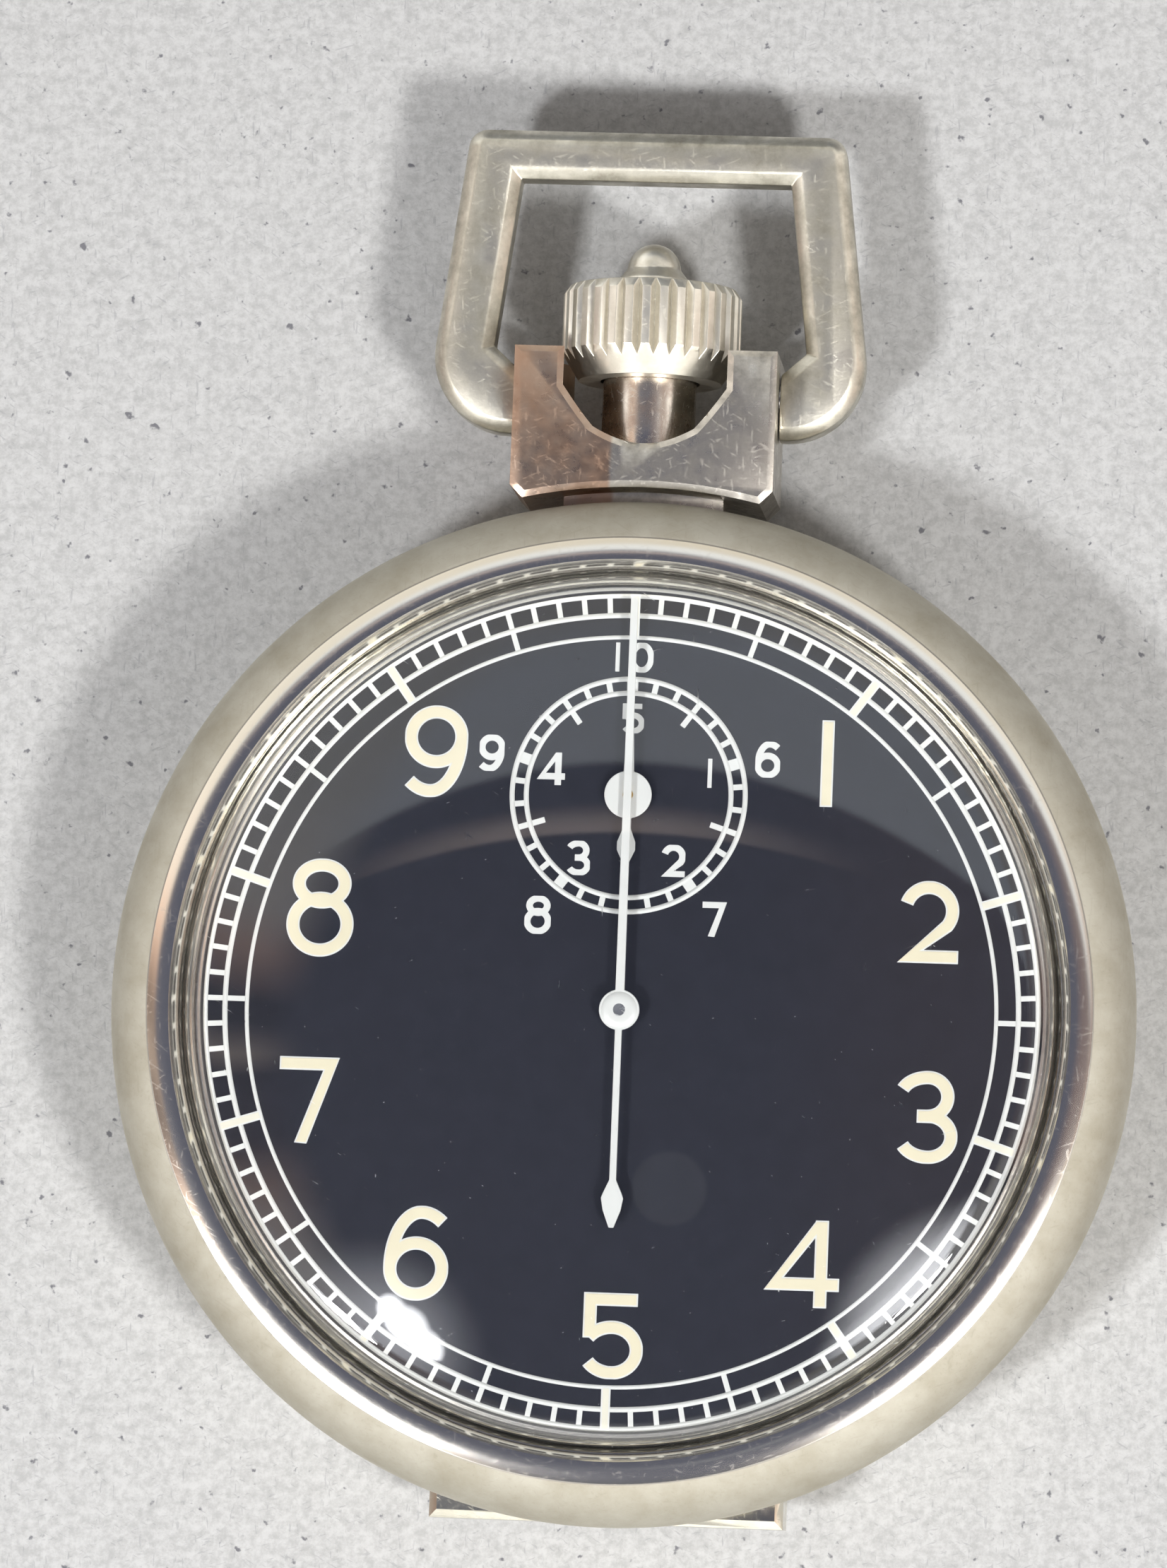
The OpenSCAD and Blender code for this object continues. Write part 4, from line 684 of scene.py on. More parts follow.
def crystal_material(name):
    """Clear acrylic with fine scratches. Light reaches the dial through it without a hard shadow."""
    mat, tree, shader = blank_material(name, Roughness=0.0, IOR=1.49, Metallic=0.0)
    shader.inputs["Base Color"].default_value = (0.97, 0.98, 0.98, 1)
    shader.inputs["Transmission Weight"].default_value = 1.0
    marks = use_group(tree, "fine_scratches", Density=0.745, Softness=0.06)
    tree.links.new(times(tree, marks.outputs[0], 0.3), shader.inputs["Roughness"])
    worn = use_group(tree, "metal_grain", Grain_Scale=1500.0, Blotch_Scale=120.0)
    height = plus(tree, times(tree, marks.outputs[0], -0.15), times(tree, worn.outputs["Grain"], 0.05))
    bump(tree, shader, height, 0.12, 0.01)
    clear = add_node(tree, "ShaderNodeBsdfTransparent")
    clear.inputs[0].default_value = (0.93, 0.94, 0.94, 1)
    path = tree.nodes.new("ShaderNodeLightPath")
    through = calc(tree, "MAXIMUM", path.outputs["Is Shadow Ray"], path.outputs["Is Diffuse Ray"])
    mix = add_node(tree, "ShaderNodeMixShader", {0: through})
    tree.links.new(shader.outputs[0], mix.inputs[1])
    tree.links.new(clear.outputs[0], mix.inputs[2])
    out = next(n for n in tree.nodes if n.type == "OUTPUT_MATERIAL")
    tree.links.new(mix.outputs[0], out.inputs["Surface"])
    return mat


def ruby_material(name):
    """Red jewel, clear in part."""
    mat, tree, shader = blank_material(name, Roughness=0.05, IOR=1.76)
    shader.inputs["Transmission Weight"].default_value = 0.6
    worn = use_group(tree, "metal_grain", Grain_Scale=3000.0, Blotch_Scale=2500.0)
    tree.links.new(colour_between(tree, worn.outputs["Blotch"], (0.55, 0.01, 0.06), (0.35, 0.0, 0.03)),
                   shader.inputs["Base Color"])
    return mat


# Fibres and specks of the table
FIBRE_COLOUR, SPECK_COLOUR = (0.28, 0.28, 0.30), (0.12, 0.12, 0.14)


def table_material(name, colour):
    """Pale grey board with a fine mottle, thin fibres and small dark specks."""
    mat, tree, shader = blank_material(name, Roughness=0.9)
    shader.inputs["Specular IOR Level"].default_value = 0.2
    where = add_node(tree, "ShaderNodeTexCoord").outputs["Object"]
    cloud, patches = noise(tree, where, 1900.0, 4.0, 0.75), noise(tree, where, 650.0, 3.0)
    specks = noise(tree, where, 1500.0, 3.0)
    fibres = use_group(tree, "fine_scratches", Density=0.66, Softness=0.06)
    both = plus(tree, times(tree, cloud, 0.8), times(tree, patches, 0.2))
    tone = step_up(tree, both, 0.34, 0.64)
    soft = colour_between(tree, tone, tinted(colour, 0.84), tinted(colour, 1.11))
    lined = colour_between(tree, times(tree, fibres.outputs[0], 0.4), soft, FIBRE_COLOUR)
    dots = times(tree, step_up(tree, specks, 0.655, 0.74), 0.85)
    tree.links.new(colour_between(tree, dots, lined, SPECK_COLOUR), shader.inputs["Base Color"])
    bump(tree, shader, cloud, 0.5, 0.06)
    return mat


# Pieces of the pendant whose finish isn't the one that their slot names
PENDANT_FINISHES = {
    "pendant_block": "block_metal", "pendant_sleeve": "sleeve_metal", "crown": "crown_metal",
    "crown_pip": "crown_metal"}
# Where the block's warm tint ends, in millimetres across X
TINT_EDGE = -1.45
# Metals inside the case: colour, darker colour, roughness where clean and where worn, and if it is brushed
MOVEMENT_METALS = {
    "plate_nickel": ((0.70, 0.68, 0.62), (0.60, 0.58, 0.52), 0.28, 0.36, True),
    "wheel_brass": ((0.72, 0.50, 0.20), (0.60, 0.40, 0.15), 0.25, 0.35, True),
    "steel": ((0.56, 0.56, 0.57), (0.46, 0.46, 0.47), 0.18, 0.30, False),
    "blued_steel": ((0.05, 0.09, 0.30), (0.10, 0.07, 0.22), 0.18, 0.25, False),
    "spring_steel": ((0.40, 0.40, 0.42), (0.32, 0.32, 0.35), 0.22, 0.32, False),
}


def make_materials():
    """Makes the shared groups and every finish once."""
    if "metal_grain" in bpy.data.node_groups:
        return
    scratches_group()
    grain_group()
    brush_group()
    look = bpy.context.scene.stopwatch_finish
    case, tarnish = tuple(look.case_colour), tuple(look.tarnish_colour)
    metal("case_metal", case, tarnish, 0.42, 0.52)
    metal("band_metal", case, tarnish, 0.14, 0.22)
    # Slanted lips of the block and the bow: near-white, almost non-metal paint, a painted highlight standing in for
    # the light their polished edges catch
    metal("polished_edge", (0.98, 0.97, 0.95), (0.95, 0.93, 0.90), 0.35, 0.4, metallic=0.15)
    metal("bow_metal", tinted(case, 0.97), tinted(tarnish, 0.46), 0.30, 0.48, grain=0.8, blotch=520.0)
    satin_mm = bpy.context.scene.stopwatch_case.satin_radius / MM
    bezel_material("bezel_metal", tinted(case, 0.65), tinted(tarnish, 0.61), satin_mm)
    # The block is warmer in colour on its left
    tinted_metal("block_metal", tuple(look.block_colour), tuple(look.tint_colour), TINT_EDGE)
    metal("crown_metal", tuple(look.crown_colour), (0.62, 0.585, 0.50), 0.34, 0.44, blotch=900.0)
    metal("sleeve_metal", tuple(look.sleeve_colour), (0.46, 0.36, 0.30), 0.20, 0.30, blotch=700.0)
    for name, (colour, darker, clean, worn, brushed) in MOVEMENT_METALS.items():
        metal(name, colour, darker, clean, worn, brushed=brushed)
    crystal_material("crystal")
    ruby_material("ruby")
    dial, white, cream = tuple(look.dial_colour), tuple(look.print_colour), tuple(look.numeral_colour)
    paint("dial_black", dial, tinted(dial, 0.75), 0.5, 0.12)
    paint("print_white", white, tinted(white, 0.94), 0.55)
    paint("numeral_cream", cream, tinted(cream, 0.95), 0.6)
    paint("mark_cream", (0.80, 0.765, 0.66), (0.77, 0.735, 0.63), 0.6)
    paint("hand_white", white, tinted(white, 0.95), 0.35)


# Settings

class FinishSettings(bpy.types.PropertyGroup):
    """Colours and finishes of the watch."""
    case_colour: bpy.props.FloatVectorProperty(
        name="Case metal", description="Satin case, bezel and bow", subtype="COLOR", size=3, min=0, max=1,
        default=(0.74, 0.71, 0.615))
    tarnish_colour: bpy.props.FloatVectorProperty(
        name="Tarnish", description="Darker blotches of the case metal", subtype="COLOR", size=3, min=0, max=1,
        default=(0.64, 0.60, 0.49))
    block_colour: bpy.props.FloatVectorProperty(
        name="Block", description="Bright metal of the pendant block", subtype="COLOR", size=3, min=0, max=1,
        default=(0.66, 0.62, 0.55))
    tint_colour: bpy.props.FloatVectorProperty(
        name="Tint", description="Warm stain on the block's left", subtype="COLOR", size=3, min=0, max=1,
        default=(0.42, 0.28, 0.20))
    crown_colour: bpy.props.FloatVectorProperty(
        name="Crown", description="Metal of the fluted crown", subtype="COLOR", size=3, min=0, max=1,
        default=(0.80, 0.77, 0.68))
    sleeve_colour: bpy.props.FloatVectorProperty(
        name="Sleeve", description="Metal of the neck under the crown", subtype="COLOR", size=3, min=0, max=1,
        default=(0.86, 0.81, 0.72))
    dial_colour: bpy.props.FloatVectorProperty(
        name="Dial", description="Blue-black dial", subtype="COLOR", size=3, min=0, max=1,
        default=(0.015, 0.016, 0.024))
    print_colour: bpy.props.FloatVectorProperty(
        name="Print", description="White lines and hands", subtype="COLOR", size=3, min=0, max=1,
        default=(0.78, 0.78, 0.77))
    numeral_colour: bpy.props.FloatVectorProperty(
        name="Numerals", description="Cream paint in the large numerals", subtype="COLOR", size=3, min=0, max=1,
        default=(0.81, 0.735, 0.55))


class CaseSettings(bpy.types.PropertyGroup):
    """Sizes of the bezel and the crystal."""
    ridge_radius: bpy.props.FloatProperty(
        name="Bezel ridge", description="Radius of the bezel's highest line", unit="LENGTH",
        default=0.02235, min=0.022, max=0.024)
    flank_radius: bpy.props.FloatProperty(
        name="Bezel flank", description="Radius of the wall inside the ridge", unit="LENGTH",
        default=0.0219, min=0.0215, max=0.0223)
    satin_radius: bpy.props.FloatProperty(
        name="Satin band", description="Radius where polish meets satin", unit="LENGTH",
        default=0.02342, min=0.02, max=0.026)
    crystal_wall: bpy.props.FloatProperty(
        name="Crystal wall", description="Thickness of the crystal", unit="LENGTH",
        default=0.0006, min=0.0004, max=0.0011)
    crystal_shoulder: bpy.props.FloatProperty(
        name="Crystal shoulder", description="Radius of the crystal's rounded rim", unit="LENGTH",
        default=0.0021, min=0.0015, max=0.003)
    dome_radius: bpy.props.FloatProperty(
        name="Crystal dome", description="Radius of the crystal's dome", unit="LENGTH",
        default=0.0885, min=0.07, max=0.12)


class DialSettings(bpy.types.PropertyGroup):
    """Sizes of the printed scales."""
    inner_ring: bpy.props.FloatProperty(
        name="Inner ring", description="Radius of the thin inner ring", unit="LENGTH", default=0.0187)
    middle_ring: bpy.props.FloatProperty(
        name="Middle ring", description="Radius of the middle ring", unit="LENGTH", default=0.0198)
    outer_ring: bpy.props.FloatProperty(
        name="Outer ring", description="Radius of the outer ring", unit="LENGTH", default=0.0209)
    fine_line: bpy.props.FloatProperty(
        name="Fine line", description="Width of the fine lines", unit="LENGTH", default=0.00026)
    bold_line: bpy.props.FloatProperty(
        name="Bold line", description="Width of the whole-second marks", unit="LENGTH",
        default=0.00046)
    divisions: bpy.props.IntProperty(
        name="Divisions", description="Number of tenths round the dial", default=100, min=10)


class StageSettings(bpy.types.PropertyGroup):
    """Table, lamps and surroundings."""
    table_colour: bpy.props.FloatVectorProperty(
        name="Table", description="Colour of the table", subtype="COLOR", size=3, min=0, max=1,
        default=(0.512, 0.512, 0.512))
    key_power: bpy.props.FloatProperty(
        name="Right lamp", description="Power of the right lamp", unit="POWER", default=2.95, min=0)
    left_power: bpy.props.FloatProperty(
        name="Left lamp", description="Power of the left lamp", unit="POWER", default=2.75, min=0)
    sky: bpy.props.FloatProperty(
        name="Sky", description="Brightness of the surroundings", subtype="FACTOR", default=1.0, min=0, max=2)


# Colours round the horizon, from -X through -Y, +X and +Y back to -X

HORIZON = [
    (0.0, (0.42, 0.31, 0.27)), (0.12, (0.80, 0.76, 0.72)), (0.22, (1.9, 1.9, 1.85)), (0.32, (1.6, 1.6, 1.55)),
    (0.42, (1.1, 1.0, 0.95)), (0.445, (0.02, 0.02, 0.02)), (0.462, (1.1, 0.70, 0.52)), (0.485, (1.8, 1.7, 1.6)),
    (0.50, (0.02, 0.02, 0.02)), (0.525, (1.0, 0.66, 0.50)), (0.56, (1.7, 1.7, 1.65)), (0.60, (0.35, 0.33, 0.32)),
    (0.70, (0.08, 0.10, 0.13)), (0.78, (0.10, 0.12, 0.16)), (0.83, (1.2, 1.2, 1.2)), (0.92, (1.6, 1.6, 1.55)),
    (0.96, (0.45, 0.33, 0.29)), (1.0, (0.42, 0.31, 0.27)),
]
# Colours higher up, which the bezel's polished rim shows, in the same order
RIM = [
    (0.0, (0.9, 0.72, 0.6)), (0.008, (0.05, 0.03, 0.03)), (0.033, (0.10, 0.06, 0.05)), (0.05, (1.0, 0.66, 0.5)),
    (0.09, (1.6, 1.5, 1.4)), (0.125, (1.0, 0.75, 0.62)), (0.167, (0.5, 0.42, 0.38)), (0.194, (0.08, 0.09, 0.12)),
    (0.30, (0.10, 0.11, 0.14)), (0.333, (0.9, 0.8, 0.62)), (0.375, (1.8, 1.75, 1.65)), (0.444, (1.3, 1.2, 1.05)),
    (0.472, (0.40, 0.29, 0.26)), (0.514, (0.32, 0.25, 0.24)), (0.556, (0.6, 0.5, 0.45)), (0.611, (0.95, 0.92, 0.85)),
    (0.75, (0.75, 0.71, 0.62)), (0.90, (0.95, 0.92, 0.84)), (0.945, (1.15, 1.05, 0.95)), (0.962, (1.1, 0.72, 0.55)),
    (0.980, (0.03, 0.02, 0.02)), (0.990, (0.04, 0.03, 0.03)), (1.0, (0.9, 0.72, 0.6)),
]
# Overhead, places are slopes from straight up, x / z and y / z.
# Dark part at the left and at the right, and where one becomes the other
DARK_LEFT, DARK_RIGHT, DARK_CHANGE = (0.09, 0.10, 0.15), (0.17, 0.13, 0.14), (0.05, 0.35)
# Faint disc: centre, inner and outer reach, and colour
FAINT_DISC = ((0.0, -0.154), 0.042, 0.05, (0.24, 0.26, 0.30))
# Bright part beyond an arch, and a warm strip below it: bend of the edge, where it starts and ends, and colour
ARCH_MIDDLE, ARCH_BEND, ARCH_EDGE, ARCH_COLOUR = -0.07, 0.668, (0.380, 0.396), (0.92, 0.97, 1.03)
STRIP_MIDDLE, STRIP_BEND, STRIP_COLOUR = -0.13, 0.45, (1.15, 0.95, 0.87)
STRIP_CRISP, STRIP_SOFT, STRIP_ENDS = (0.286, 0.294), (0.294, 0.335), (0.05, 0.4)
# Where the rim's colours begin, and how far they reach in at the left
RIM_EDGE, RIM_LEFT, RIM_LEFT_REACH = (0.56, 0.68), (-0.25, -0.45), 0.08
# Pale ring beyond the rim's colours
FAR_EDGE, FAR_COLOUR = (0.9, 1.5), (1.5, 1.48, 1.45)
# Height at which the horizon gives way to the ceiling, and what is left of the room's light on dull surfaces
CEILING_EDGE, DULL_SHARE, BACKDROP = (0.38, 0.62), 0.38, (0.80, 0.80, 0.80, 1)
# Soft glows that the crystal mirrors: centre, inner and outer reach, and colour
GLOWS = [
    ((-0.385, -0.385), 0.0, 0.16, (4.0, 4.0, 4.2)),
    ((-0.368, -0.334), 0.008, 0.026, (40.0, 40.0, 41.0)),
    ((-0.346, -0.358), 0.014, 0.036, (40.0, 40.0, 41.0)),
    ((-0.323, -0.384), 0.012, 0.032, (40.0, 40.0, 41.0)),
    ((0.40, -0.36), 0.08, 0.21, (9.0, 9.0, 9.2)),
]


# Operators

# Rounded foot of the bezel's outer band, drop of its inner flank and of the step below it, in millimetres
BAND_FOOT, FLANK_DROP, STEP_DROP = 1.3, 1.2, 0.05
# Steps and last angle of the band, steps and first angle of the flank, and how much of the flank is round
BAND_STEPS, BAND_END, FLANK_STEPS, FLANK_START, FLANK_ROUND = 24, 88, 12, 8, 0.6
# Inside of the bezel under the crystal: height of its top above the dial, then radius and height above the dial
LEDGE_TOP = 0.4
BEZEL_INSIDE = [(21.0, 0.4), (21.0, 0.05), (21.65, 0.05), (21.65, -0.45), (23.25, -0.45)]
# Node, its piece, rounding of the edges, width and drop of the lip, body, slot and finish
CASE_PIECES = [
    ("case_middle", "case_band", 0.08, None, "case", "case_metal", "band_metal"),
    ("back_cover", "screw_back", 0.06, None, "case", "case_metal", "case_metal"),
    ("pendant_block", "pendant_horn", 0.06, (0.32, 0.13), "case", "bright_metal", "block_metal"),
    ("bow", "bow_loop", 0.07, (0.16, 0.06), "bow", "case_metal", "bow_metal"),
    ("crown", "fluted_crown", 0.05, None, "crown", "bright_metal", "crown_metal"),
    ("crown_pip", "crown_button", 0.10, None, "crown", "bright_metal", "crown_metal"),
]
# Heights of the print above the dial, and narrowing of the cream paint inside its white outline
PRINT_H, MARK_H, OUTLINE_H, PAINT_BASE, PAINT_H, PAINT_INSET = 0.02, 0.028, 0.024, 0.01, 0.04, 0.075
# Register, before scaling: bars as count, inner and outer radius, width and start in degrees, and rings
REGISTER_BARS = [(30, 5.1, 5.85, 0.28, 0.0), (5, 5.1, 5.85, 0.55, 0.0), (5, 4.35, 5.2, 0.28, 36.0)]
REGISTER_RINGS = [(5.12, 0.25), (5.83, 0.25)]
# Cap on the sweep hand's boss: radius, and height above the hand
BOSS_CAP = [(0.0, -0.1), (0.32, -0.1), (0.9, -0.01), (0.86, 0.04), (0.6, 0.09), (0.24, 0.1), (0.17, 0.07),
            (0.13, 0.01), (0.0, 0.0)]
# Lamps in metres: name, place, width, its power setting and colour
LAMPS = [
    ("right_lamp", (0.316, -0.265, 0.51), 0.10, "key_power", (1.0, 0.99, 0.97)),
    ("left_lamp", (-0.297, -0.254, 0.53), 0.09, "left_power", (0.98, 0.99, 1.0)),
]
TABLE_HALF = 1.6
# Camera at the photograph's angle: lens in millimetres, place in metres and turn in degrees
LENS, CAMERA_AT, CAMERA_TURN = 204.4, (0.033204, -0.030663, 0.447785), (5.6132, 4.4126, 2.2043)


class Piece:
    """What all operators share."""
    bl_options = {"REGISTER", "UNDO"}


class STOPWATCH_OT_finishes(Piece, bpy.types.Operator):
    """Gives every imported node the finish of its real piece"""
    bl_idname = "stopwatch.finishes"
    bl_label = "Finishes"

    def execute(self, context):
        make_materials()
        slots = {}
        for part in frame["record"]["subparts"]:
            slots[part["node"]] = part.get("material_slot") or part.get("material")
        known = {m.name for m in bpy.data.materials}
        for name, obj in NODES.items():
            slot = PENDANT_FINISHES.get(name, slots.get(name))
            if f"{slot}{FINISH}" not in known:
                raise RuntimeError(f"{name} has no finish: {slot}")
            obj.data.materials.clear()
            obj.data.materials.append(finish(slot))
        return {"FINISHED"}


class STOPWATCH_OT_case(Piece, bpy.types.Operator):
    """Bezel with its satin band, and the case, back, pendant, crown and bow with soft edges"""
    bl_idname = "stopwatch.case"
    bl_label = "Case"

    def execute(self, context):
        low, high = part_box("bezel")
        low_z, ridge_z = low.z / MM, high.z / MM
        sizes = context.scene.stopwatch_case
        ridge_r, flank_r = sizes.ridge_radius / MM, sizes.flank_radius / MM
        band_w, flank_w = high.x / MM - ridge_r, ridge_r - flank_r
        round_z = low_z + BAND_FOOT
        round_h = ridge_z - round_z
        start = -math.degrees(math.asin(BAND_FOOT / round_h))
        profile = []
        for i in range(BAND_STEPS + 1):
            a = math.radians(start + (BAND_END - start) * i / BAND_STEPS)
            profile.append((ridge_r + band_w * math.cos(a), round_z + round_h * math.sin(a)))
        for i in range(FLANK_STEPS + 1):
            along = i / FLANK_STEPS
            a = math.radians(FLANK_START + (BAND_END - FLANK_START) * along)
            inward = FLANK_ROUND * math.sin(a) + (1 - FLANK_ROUND) * along
            down = FLANK_ROUND * (1 - math.cos(a)) + (1 - FLANK_ROUND) * along
            profile.append((ridge_r - flank_w * inward, ridge_z - FLANK_DROP * down))
        profile += [(flank_r, ridge_z - FLANK_DROP - STEP_DROP), (flank_r, DIAL_TOP + LEDGE_TOP)]
        profile += [(r, DIAL_TOP + z) for r, z in BEZEL_INSIDE] + [(BEZEL_INSIDE[-1][0], low_z)]
        bezel = new_object("bezel_ring", lathe("bezel_ring", profile, 400, 24))
        place(bezel, "case", finish("bezel_metal"), ["bezel"])
        for node, name, edge, lip, body, slot, material in CASE_PIECES:
            piece = finished_copy(node, name, edge, lip)
            place(piece, body, finish(material), [node])
            # The lips take the painted highlight as their second finish
            if lip:
                piece.data.materials.append(finish("polished_edge"))
        return {"FINISHED"}


class STOPWATCH_OT_crystal(Piece, bpy.types.Operator):
    """Domed clear crystal"""
    bl_idname = "stopwatch.crystal"
    bl_label = "Crystal"

    def execute(self, context):
        low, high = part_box("crystal")
        edge_r, seat, top = high.x / MM, low.z / MM, high.z / MM
        sizes = context.scene.stopwatch_case
        wall, shoulder, sphere = (v / MM for v in (sizes.crystal_wall, sizes.crystal_shoulder, sizes.dome_radius))

        def dome(radius, peak, turn, sphere):
            """Half the section of a dome whose rim is rounded off."""
            c = radius - turn
            edge_z = peak - sphere + math.sqrt((sphere - turn) ** 2 - c * c)
            lean = math.degrees(math.asin(c / (sphere - turn)))
            side = arc((c, edge_z), turn, 0, 90 - lean, 12)
            crest = arc((0, peak - sphere), sphere, 90 - lean, 90, 24)[1:]
            return side + crest[:-1] + [(0.0, peak)]

        outer = dome(edge_r, top, shoulder, sphere)
        inner = dome(edge_r - wall, top - wall, shoulder - wall, sphere - wall)
        profile = [(edge_r - wall, seat), (edge_r, seat)] + outer + inner[::-1]
        piece = new_object("domed_crystal", lathe("domed_crystal", profile, 256, 30))
        place(piece, "case", finish("crystal"), ["crystal"])
        return {"FINISHED"}


class STOPWATCH_OT_seconds(Piece, bpy.types.Operator):
    """Printed scale of seconds and tenths round the dial"""
    bl_idname = "stopwatch.seconds"
    bl_label = "Seconds scale"

    def execute(self, context):
        sizes = context.scene.stopwatch_dial
        bars_tree()
        line_tree()
        rings = (sizes.inner_ring, sizes.middle_ring, sizes.outer_ring)
        inner, middle, outer = (r / MM * DIAL_SCALE for r in rings)
        fine, bold = sizes.fine_line / MM, sizes.bold_line / MM
        white, cream = finish("print_white"), finish("mark_cream")
        scale = [(sizes.divisions, middle, outer, fine, 0.0), (10, inner, middle, fine, 18.0)]
        rows = [
            ("seconds_scale", scale, [(inner, 0.2), (middle, fine), (outer, 0.3)], white, 0.0, PRINT_H),
            ("second_marks", [(10, inner - 0.05, outer + 0.1, bold, 0.0)], [], white, 0.0, MARK_H),
            ("second_mark_paint", [(10, inner + 0.05, outer, bold - 0.16, 0.0)], [], cream, PRINT_H, PRINT_H),
        ]
        for name, bars, lines, material, base, height in rows:
            tree = track_tree(name, bars, lines, (0, 0), material)
            place(grown(name, tree, base, height), "case")
        return {"FINISHED"}


class STOPWATCH_OT_register(Piece, bpy.types.Operator):
    """Printed scale of the small minute register"""
    bl_idname = "stopwatch.register"
    bl_label = "Register scale"

    def execute(self, context):
        k = DIAL_SCALE
        bars = [(count, inner * k, outer * k, width, start) for count, inner, outer, width, start in REGISTER_BARS]
        lines = [(radius * k, width) for radius, width in REGISTER_RINGS]
        tree = track_tree("register_scale", bars, lines, (0, REGISTER_Y), finish("print_white"))
        place(grown("register_scale", tree, 0.0, PRINT_H), "case")
        return {"FINISHED"}


class STOPWATCH_OT_numerals(Piece, bpy.types.Operator):
    """Plain numerals of the seconds and of the register"""
    bl_idname = "stopwatch.numerals"
    bl_label = "Numerals"

    def execute(self, context):
        white, cream = finish("print_white"), finish("numeral_cream")
        rows = [
            ("numeral_outlines", SECONDS, 0.0, OUTLINE_H, 0.0, 1.0, white),
            ("numeral_paint", SECONDS, PAINT_BASE, PAINT_H, PAINT_INSET, 1.0, cream),
            ("register_numerals", MINUTES, 0.0, OUTLINE_H, 0.0, SMALL_WEIGHT, white),
        ]
        for name, table, base, height, inset, weight, material in rows:
            piece = numerals(name, table, DIAL_TOP + base, height, inset, weight)
            place(piece, "case", material)
        return {"FINISHED"}


class STOPWATCH_OT_hands(Piece, bpy.types.Operator):
    """White hands with rounded edges, and the cap on the sweep hand's boss"""
    bl_idname = "stopwatch.hands"
    bl_label = "Hands"

    def execute(self, context):
        for node, name, body in (("sweep_hand", "sweep_needle", "sweep_hand"),
                                 ("register_hand", "register_pointer", "register_hand")):
            piece = finished_copy(node, name, 0.03)
            place(piece, body, finish("hand_white"), [node])
        cap = [(r, HAND_TOP + z) for r, z in BOSS_CAP]
        piece = new_object("sweep_boss_cap", lathe("sweep_boss_cap", cap, 64, 60))
        place(piece, "sweep_hand", finish("hand_white"))
        return {"FINISHED"}


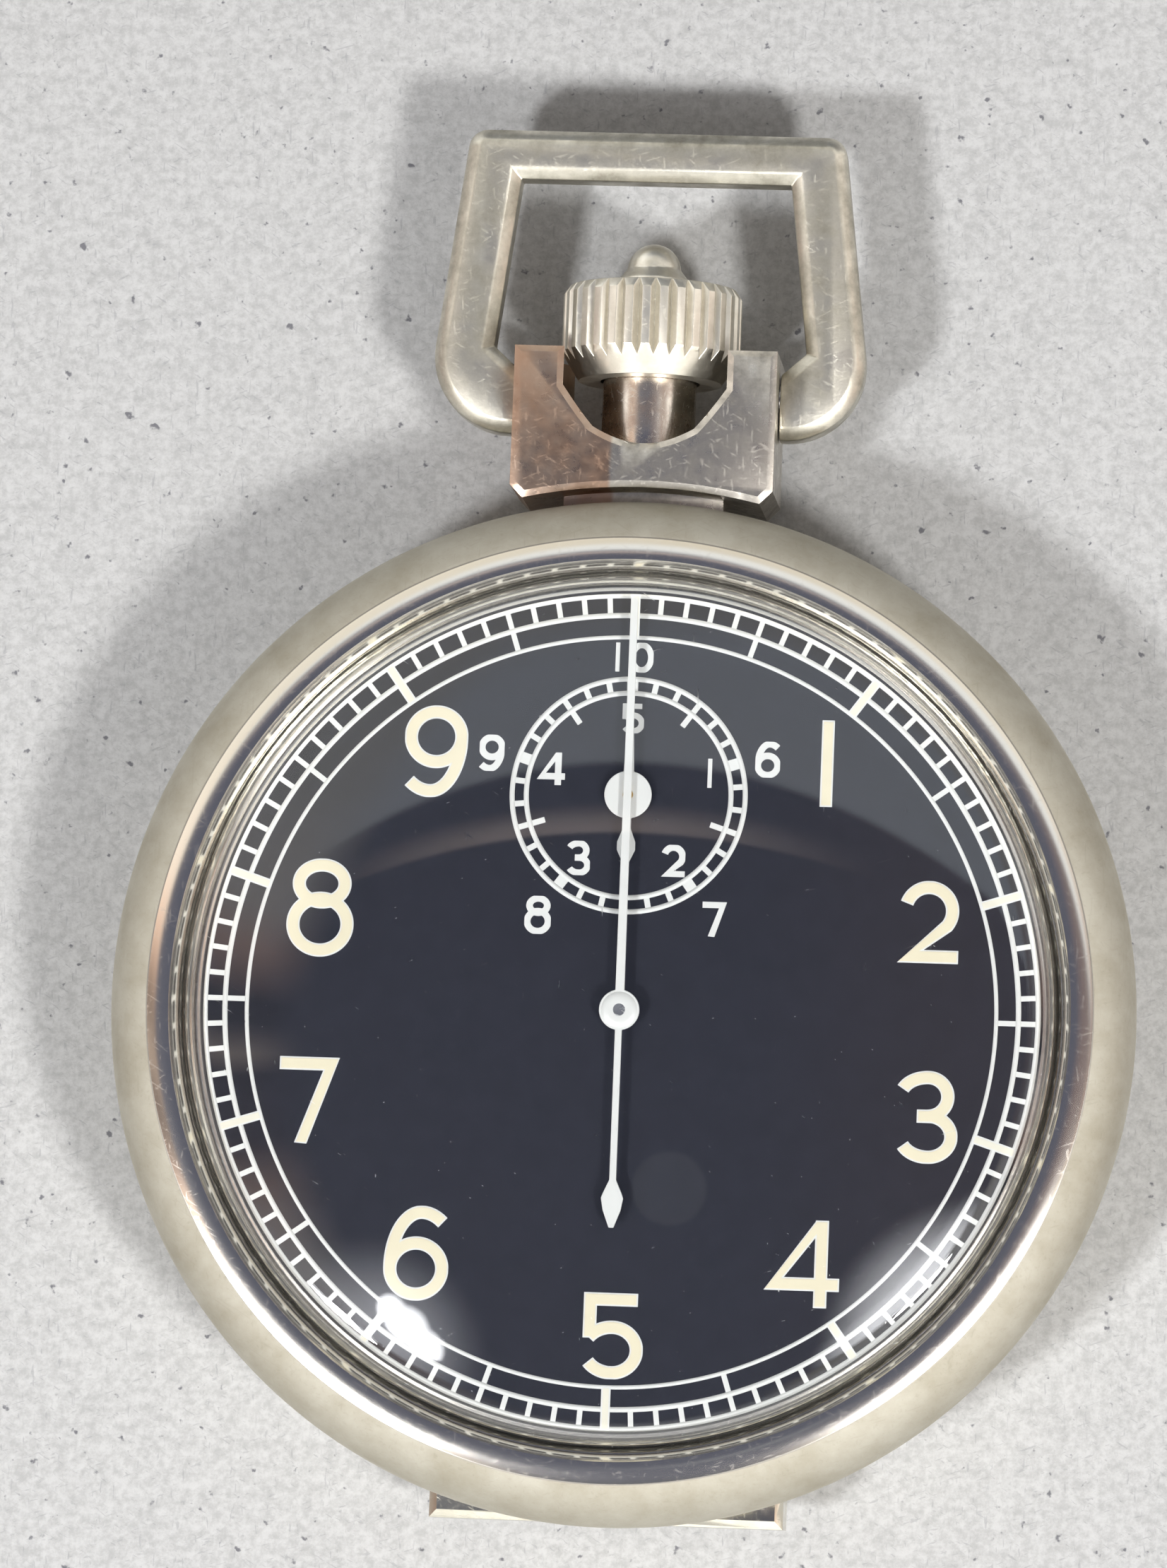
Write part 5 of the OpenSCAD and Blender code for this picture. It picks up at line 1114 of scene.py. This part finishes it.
class STOPWATCH_OT_stage(Piece, bpy.types.Operator):
    """Pale table, soft lamps and the camera"""
    bl_idname = "stopwatch.stage"
    bl_label = "Stage"

    def execute(self, context):
        scene = context.scene
        settings = scene.stopwatch_stage
        scene.view_settings.view_transform = "Standard"
        bm = bmesh.new()
        bmesh.ops.create_grid(bm, x_segments=8, y_segments=8, size=TABLE_HALF)
        mesh = bpy.data.meshes.new("table_top")
        bm.to_mesh(mesh)
        bm.free()
        table = new_object("table_top", mesh)
        mesh.materials.append(table_material("table", tuple(settings.table_colour)))
        self.light_world(scene, settings)
        for name, spot, width, power, colour in LAMPS:
            data = bpy.data.lights.new(name, "AREA")
            data.shape = "DISK"
            data.size = width
            data.energy = getattr(settings, power)
            data.color = colour
            lamp = new_object(name, data)
            lamp.location = spot
            lamp.rotation_euler = Vector(spot).to_track_quat("Z", "Y").to_euler()
        data = bpy.data.cameras.new("camera")
        data.lens = LENS
        data.sensor_width = 36
        data.clip_start = 0.01
        data.clip_end = 20
        camera = new_object("camera", data)
        camera.location = CAMERA_AT
        camera.rotation_euler = [math.radians(a) for a in CAMERA_TURN]
        scene.camera = camera
        return {"FINISHED"}

    def light_world(self, scene, settings):
        """Room round the watch: a bright part beyond an arched edge, a dark part overhead, and a mixed horizon."""
        world = bpy.data.worlds.new("room")
        scene.world = world
        world.use_nodes = True
        tree = world.node_tree
        tree.nodes.clear()
        where = add_node(tree, "ShaderNodeTexCoord").outputs["Generated"]
        x, y, z = add_node(tree, "ShaderNodeSeparateXYZ", {0: where}).outputs
        up = calc(tree, "MAXIMUM", z, 0.05)
        over_x, over_y = calc(tree, "DIVIDE", x, up), calc(tree, "DIVIDE", y, up)
        side = minus(tree, over_x, ARCH_MIDDLE)
        square = times(tree, side, side)

        def arch(bend):
            return plus(tree, over_y, times(tree, square, bend))

        def spot(centre, inner, outer):
            away = add_node(tree, "ShaderNodeCombineXYZ", {
                "X": minus(tree, over_x, centre[0]), "Y": minus(tree, over_y, centre[1])})
            return minus(tree, 1.0, step_up(tree, length_of(tree, away.outputs[0]), inner, outer))

        ceiling = colour_between(tree, step_up(tree, over_x, *DARK_CHANGE), DARK_LEFT, DARK_RIGHT)
        ceiling = colour_between(tree, spot(*FAINT_DISC[:3]), ceiling, FAINT_DISC[3])
        low_arch = arch(STRIP_BEND)
        crisp, soft = step_up(tree, low_arch, *STRIP_CRISP), step_up(tree, low_arch, *STRIP_SOFT)
        band = times(tree, crisp, minus(tree, 1.0, soft))
        off = calc(tree, "ABSOLUTE", minus(tree, over_x, STRIP_MIDDLE))
        strip = times(tree, band, minus(tree, 1.0, step_up(tree, off, *STRIP_ENDS)))
        ceiling = colour_between(tree, strip, ceiling, STRIP_COLOUR)
        ceiling = colour_between(tree, step_up(tree, arch(ARCH_BEND), *ARCH_EDGE), ceiling, ARCH_COLOUR)
        rim = add_node(tree, "ShaderNodeCombineXYZ", {"X": over_x, "Y": over_y})
        far = length_of(tree, rim.outputs[0])
        turn = plus(tree, calc(tree, "DIVIDE", calc(tree, "ARCTAN2", y, x), FULL_TURN), 0.5)
        left = times(tree, step_up(tree, over_x, *RIM_LEFT), RIM_LEFT_REACH)
        reach = plus(tree, far, left)
        ceiling = colour_between(tree, step_up(tree, reach, *RIM_EDGE), ceiling, colour_ramp(tree, turn, RIM))
        ceiling = colour_between(tree, step_up(tree, far, *FAR_EDGE), ceiling, FAR_COLOUR)
        for centre, inner, outer, bright in GLOWS:
            ceiling = colour_between(tree, spot(centre, inner, outer), ceiling, bright)
        room = colour_between(tree, step_up(tree, z, *CEILING_EDGE), colour_ramp(tree, turn, HORIZON), ceiling)
        path = tree.nodes.new("ShaderNodeLightPath")
        strength = value_between(tree, path.outputs["Is Glossy Ray"], DULL_SHARE * settings.sky, settings.sky)
        lit = add_node(tree, "ShaderNodeBackground", {"Color": room, "Strength": strength})
        pale = add_node(tree, "ShaderNodeBackground", {"Color": BACKDROP, "Strength": 1.0})
        mix = add_node(tree, "ShaderNodeMixShader", {0: path.outputs["Is Camera Ray"]})
        tree.links.new(lit.outputs[0], mix.inputs[1])
        tree.links.new(pale.outputs[0], mix.inputs[2])
        out = tree.nodes.new("ShaderNodeOutputWorld")
        tree.links.new(mix.outputs[0], out.inputs["Surface"])


OPERATORS = (
    STOPWATCH_OT_finishes, STOPWATCH_OT_case, STOPWATCH_OT_crystal, STOPWATCH_OT_seconds,
    STOPWATCH_OT_register, STOPWATCH_OT_numerals, STOPWATCH_OT_hands, STOPWATCH_OT_stage)


class STOPWATCH_PT_panel(bpy.types.Panel):
    """Lists the pieces of the stopwatch and their settings"""
    bl_idname = "STOPWATCH_PT_panel"
    bl_label = "Stopwatch"
    bl_space_type = "VIEW_3D"
    bl_region_type = "UI"
    bl_category = "Stopwatch"

    def draw(self, context):
        layout = self.layout
        for name, _ in GROUPS:
            group = getattr(context.scene, name)
            box = layout.box()
            for key in group.__annotations__:
                box.prop(group, key)
        for cls in OPERATORS:
            layout.operator(cls.bl_idname)


GROUPS = (
    ("stopwatch_finish", FinishSettings), ("stopwatch_case", CaseSettings), ("stopwatch_dial", DialSettings),
    ("stopwatch_stage", StageSettings))


def register():
    for name, cls in GROUPS:
        bpy.utils.register_class(cls)
        setattr(bpy.types.Scene, name, bpy.props.PointerProperty(type=cls))
    for cls in OPERATORS + (STOPWATCH_PT_panel,):
        bpy.utils.register_class(cls)


def unregister():
    for cls in reversed(OPERATORS + (STOPWATCH_PT_panel,)):
        bpy.utils.unregister_class(cls)
    for name, cls in reversed(GROUPS):
        delattr(bpy.types.Scene, name)
        bpy.utils.unregister_class(cls)


def main():
    """Makes every piece and the stage."""
    register()
    for cls in OPERATORS:
        area, command = cls.bl_idname.split(".")
        getattr(getattr(bpy.ops, area), command)()


if __name__ == "__main__":
    main()
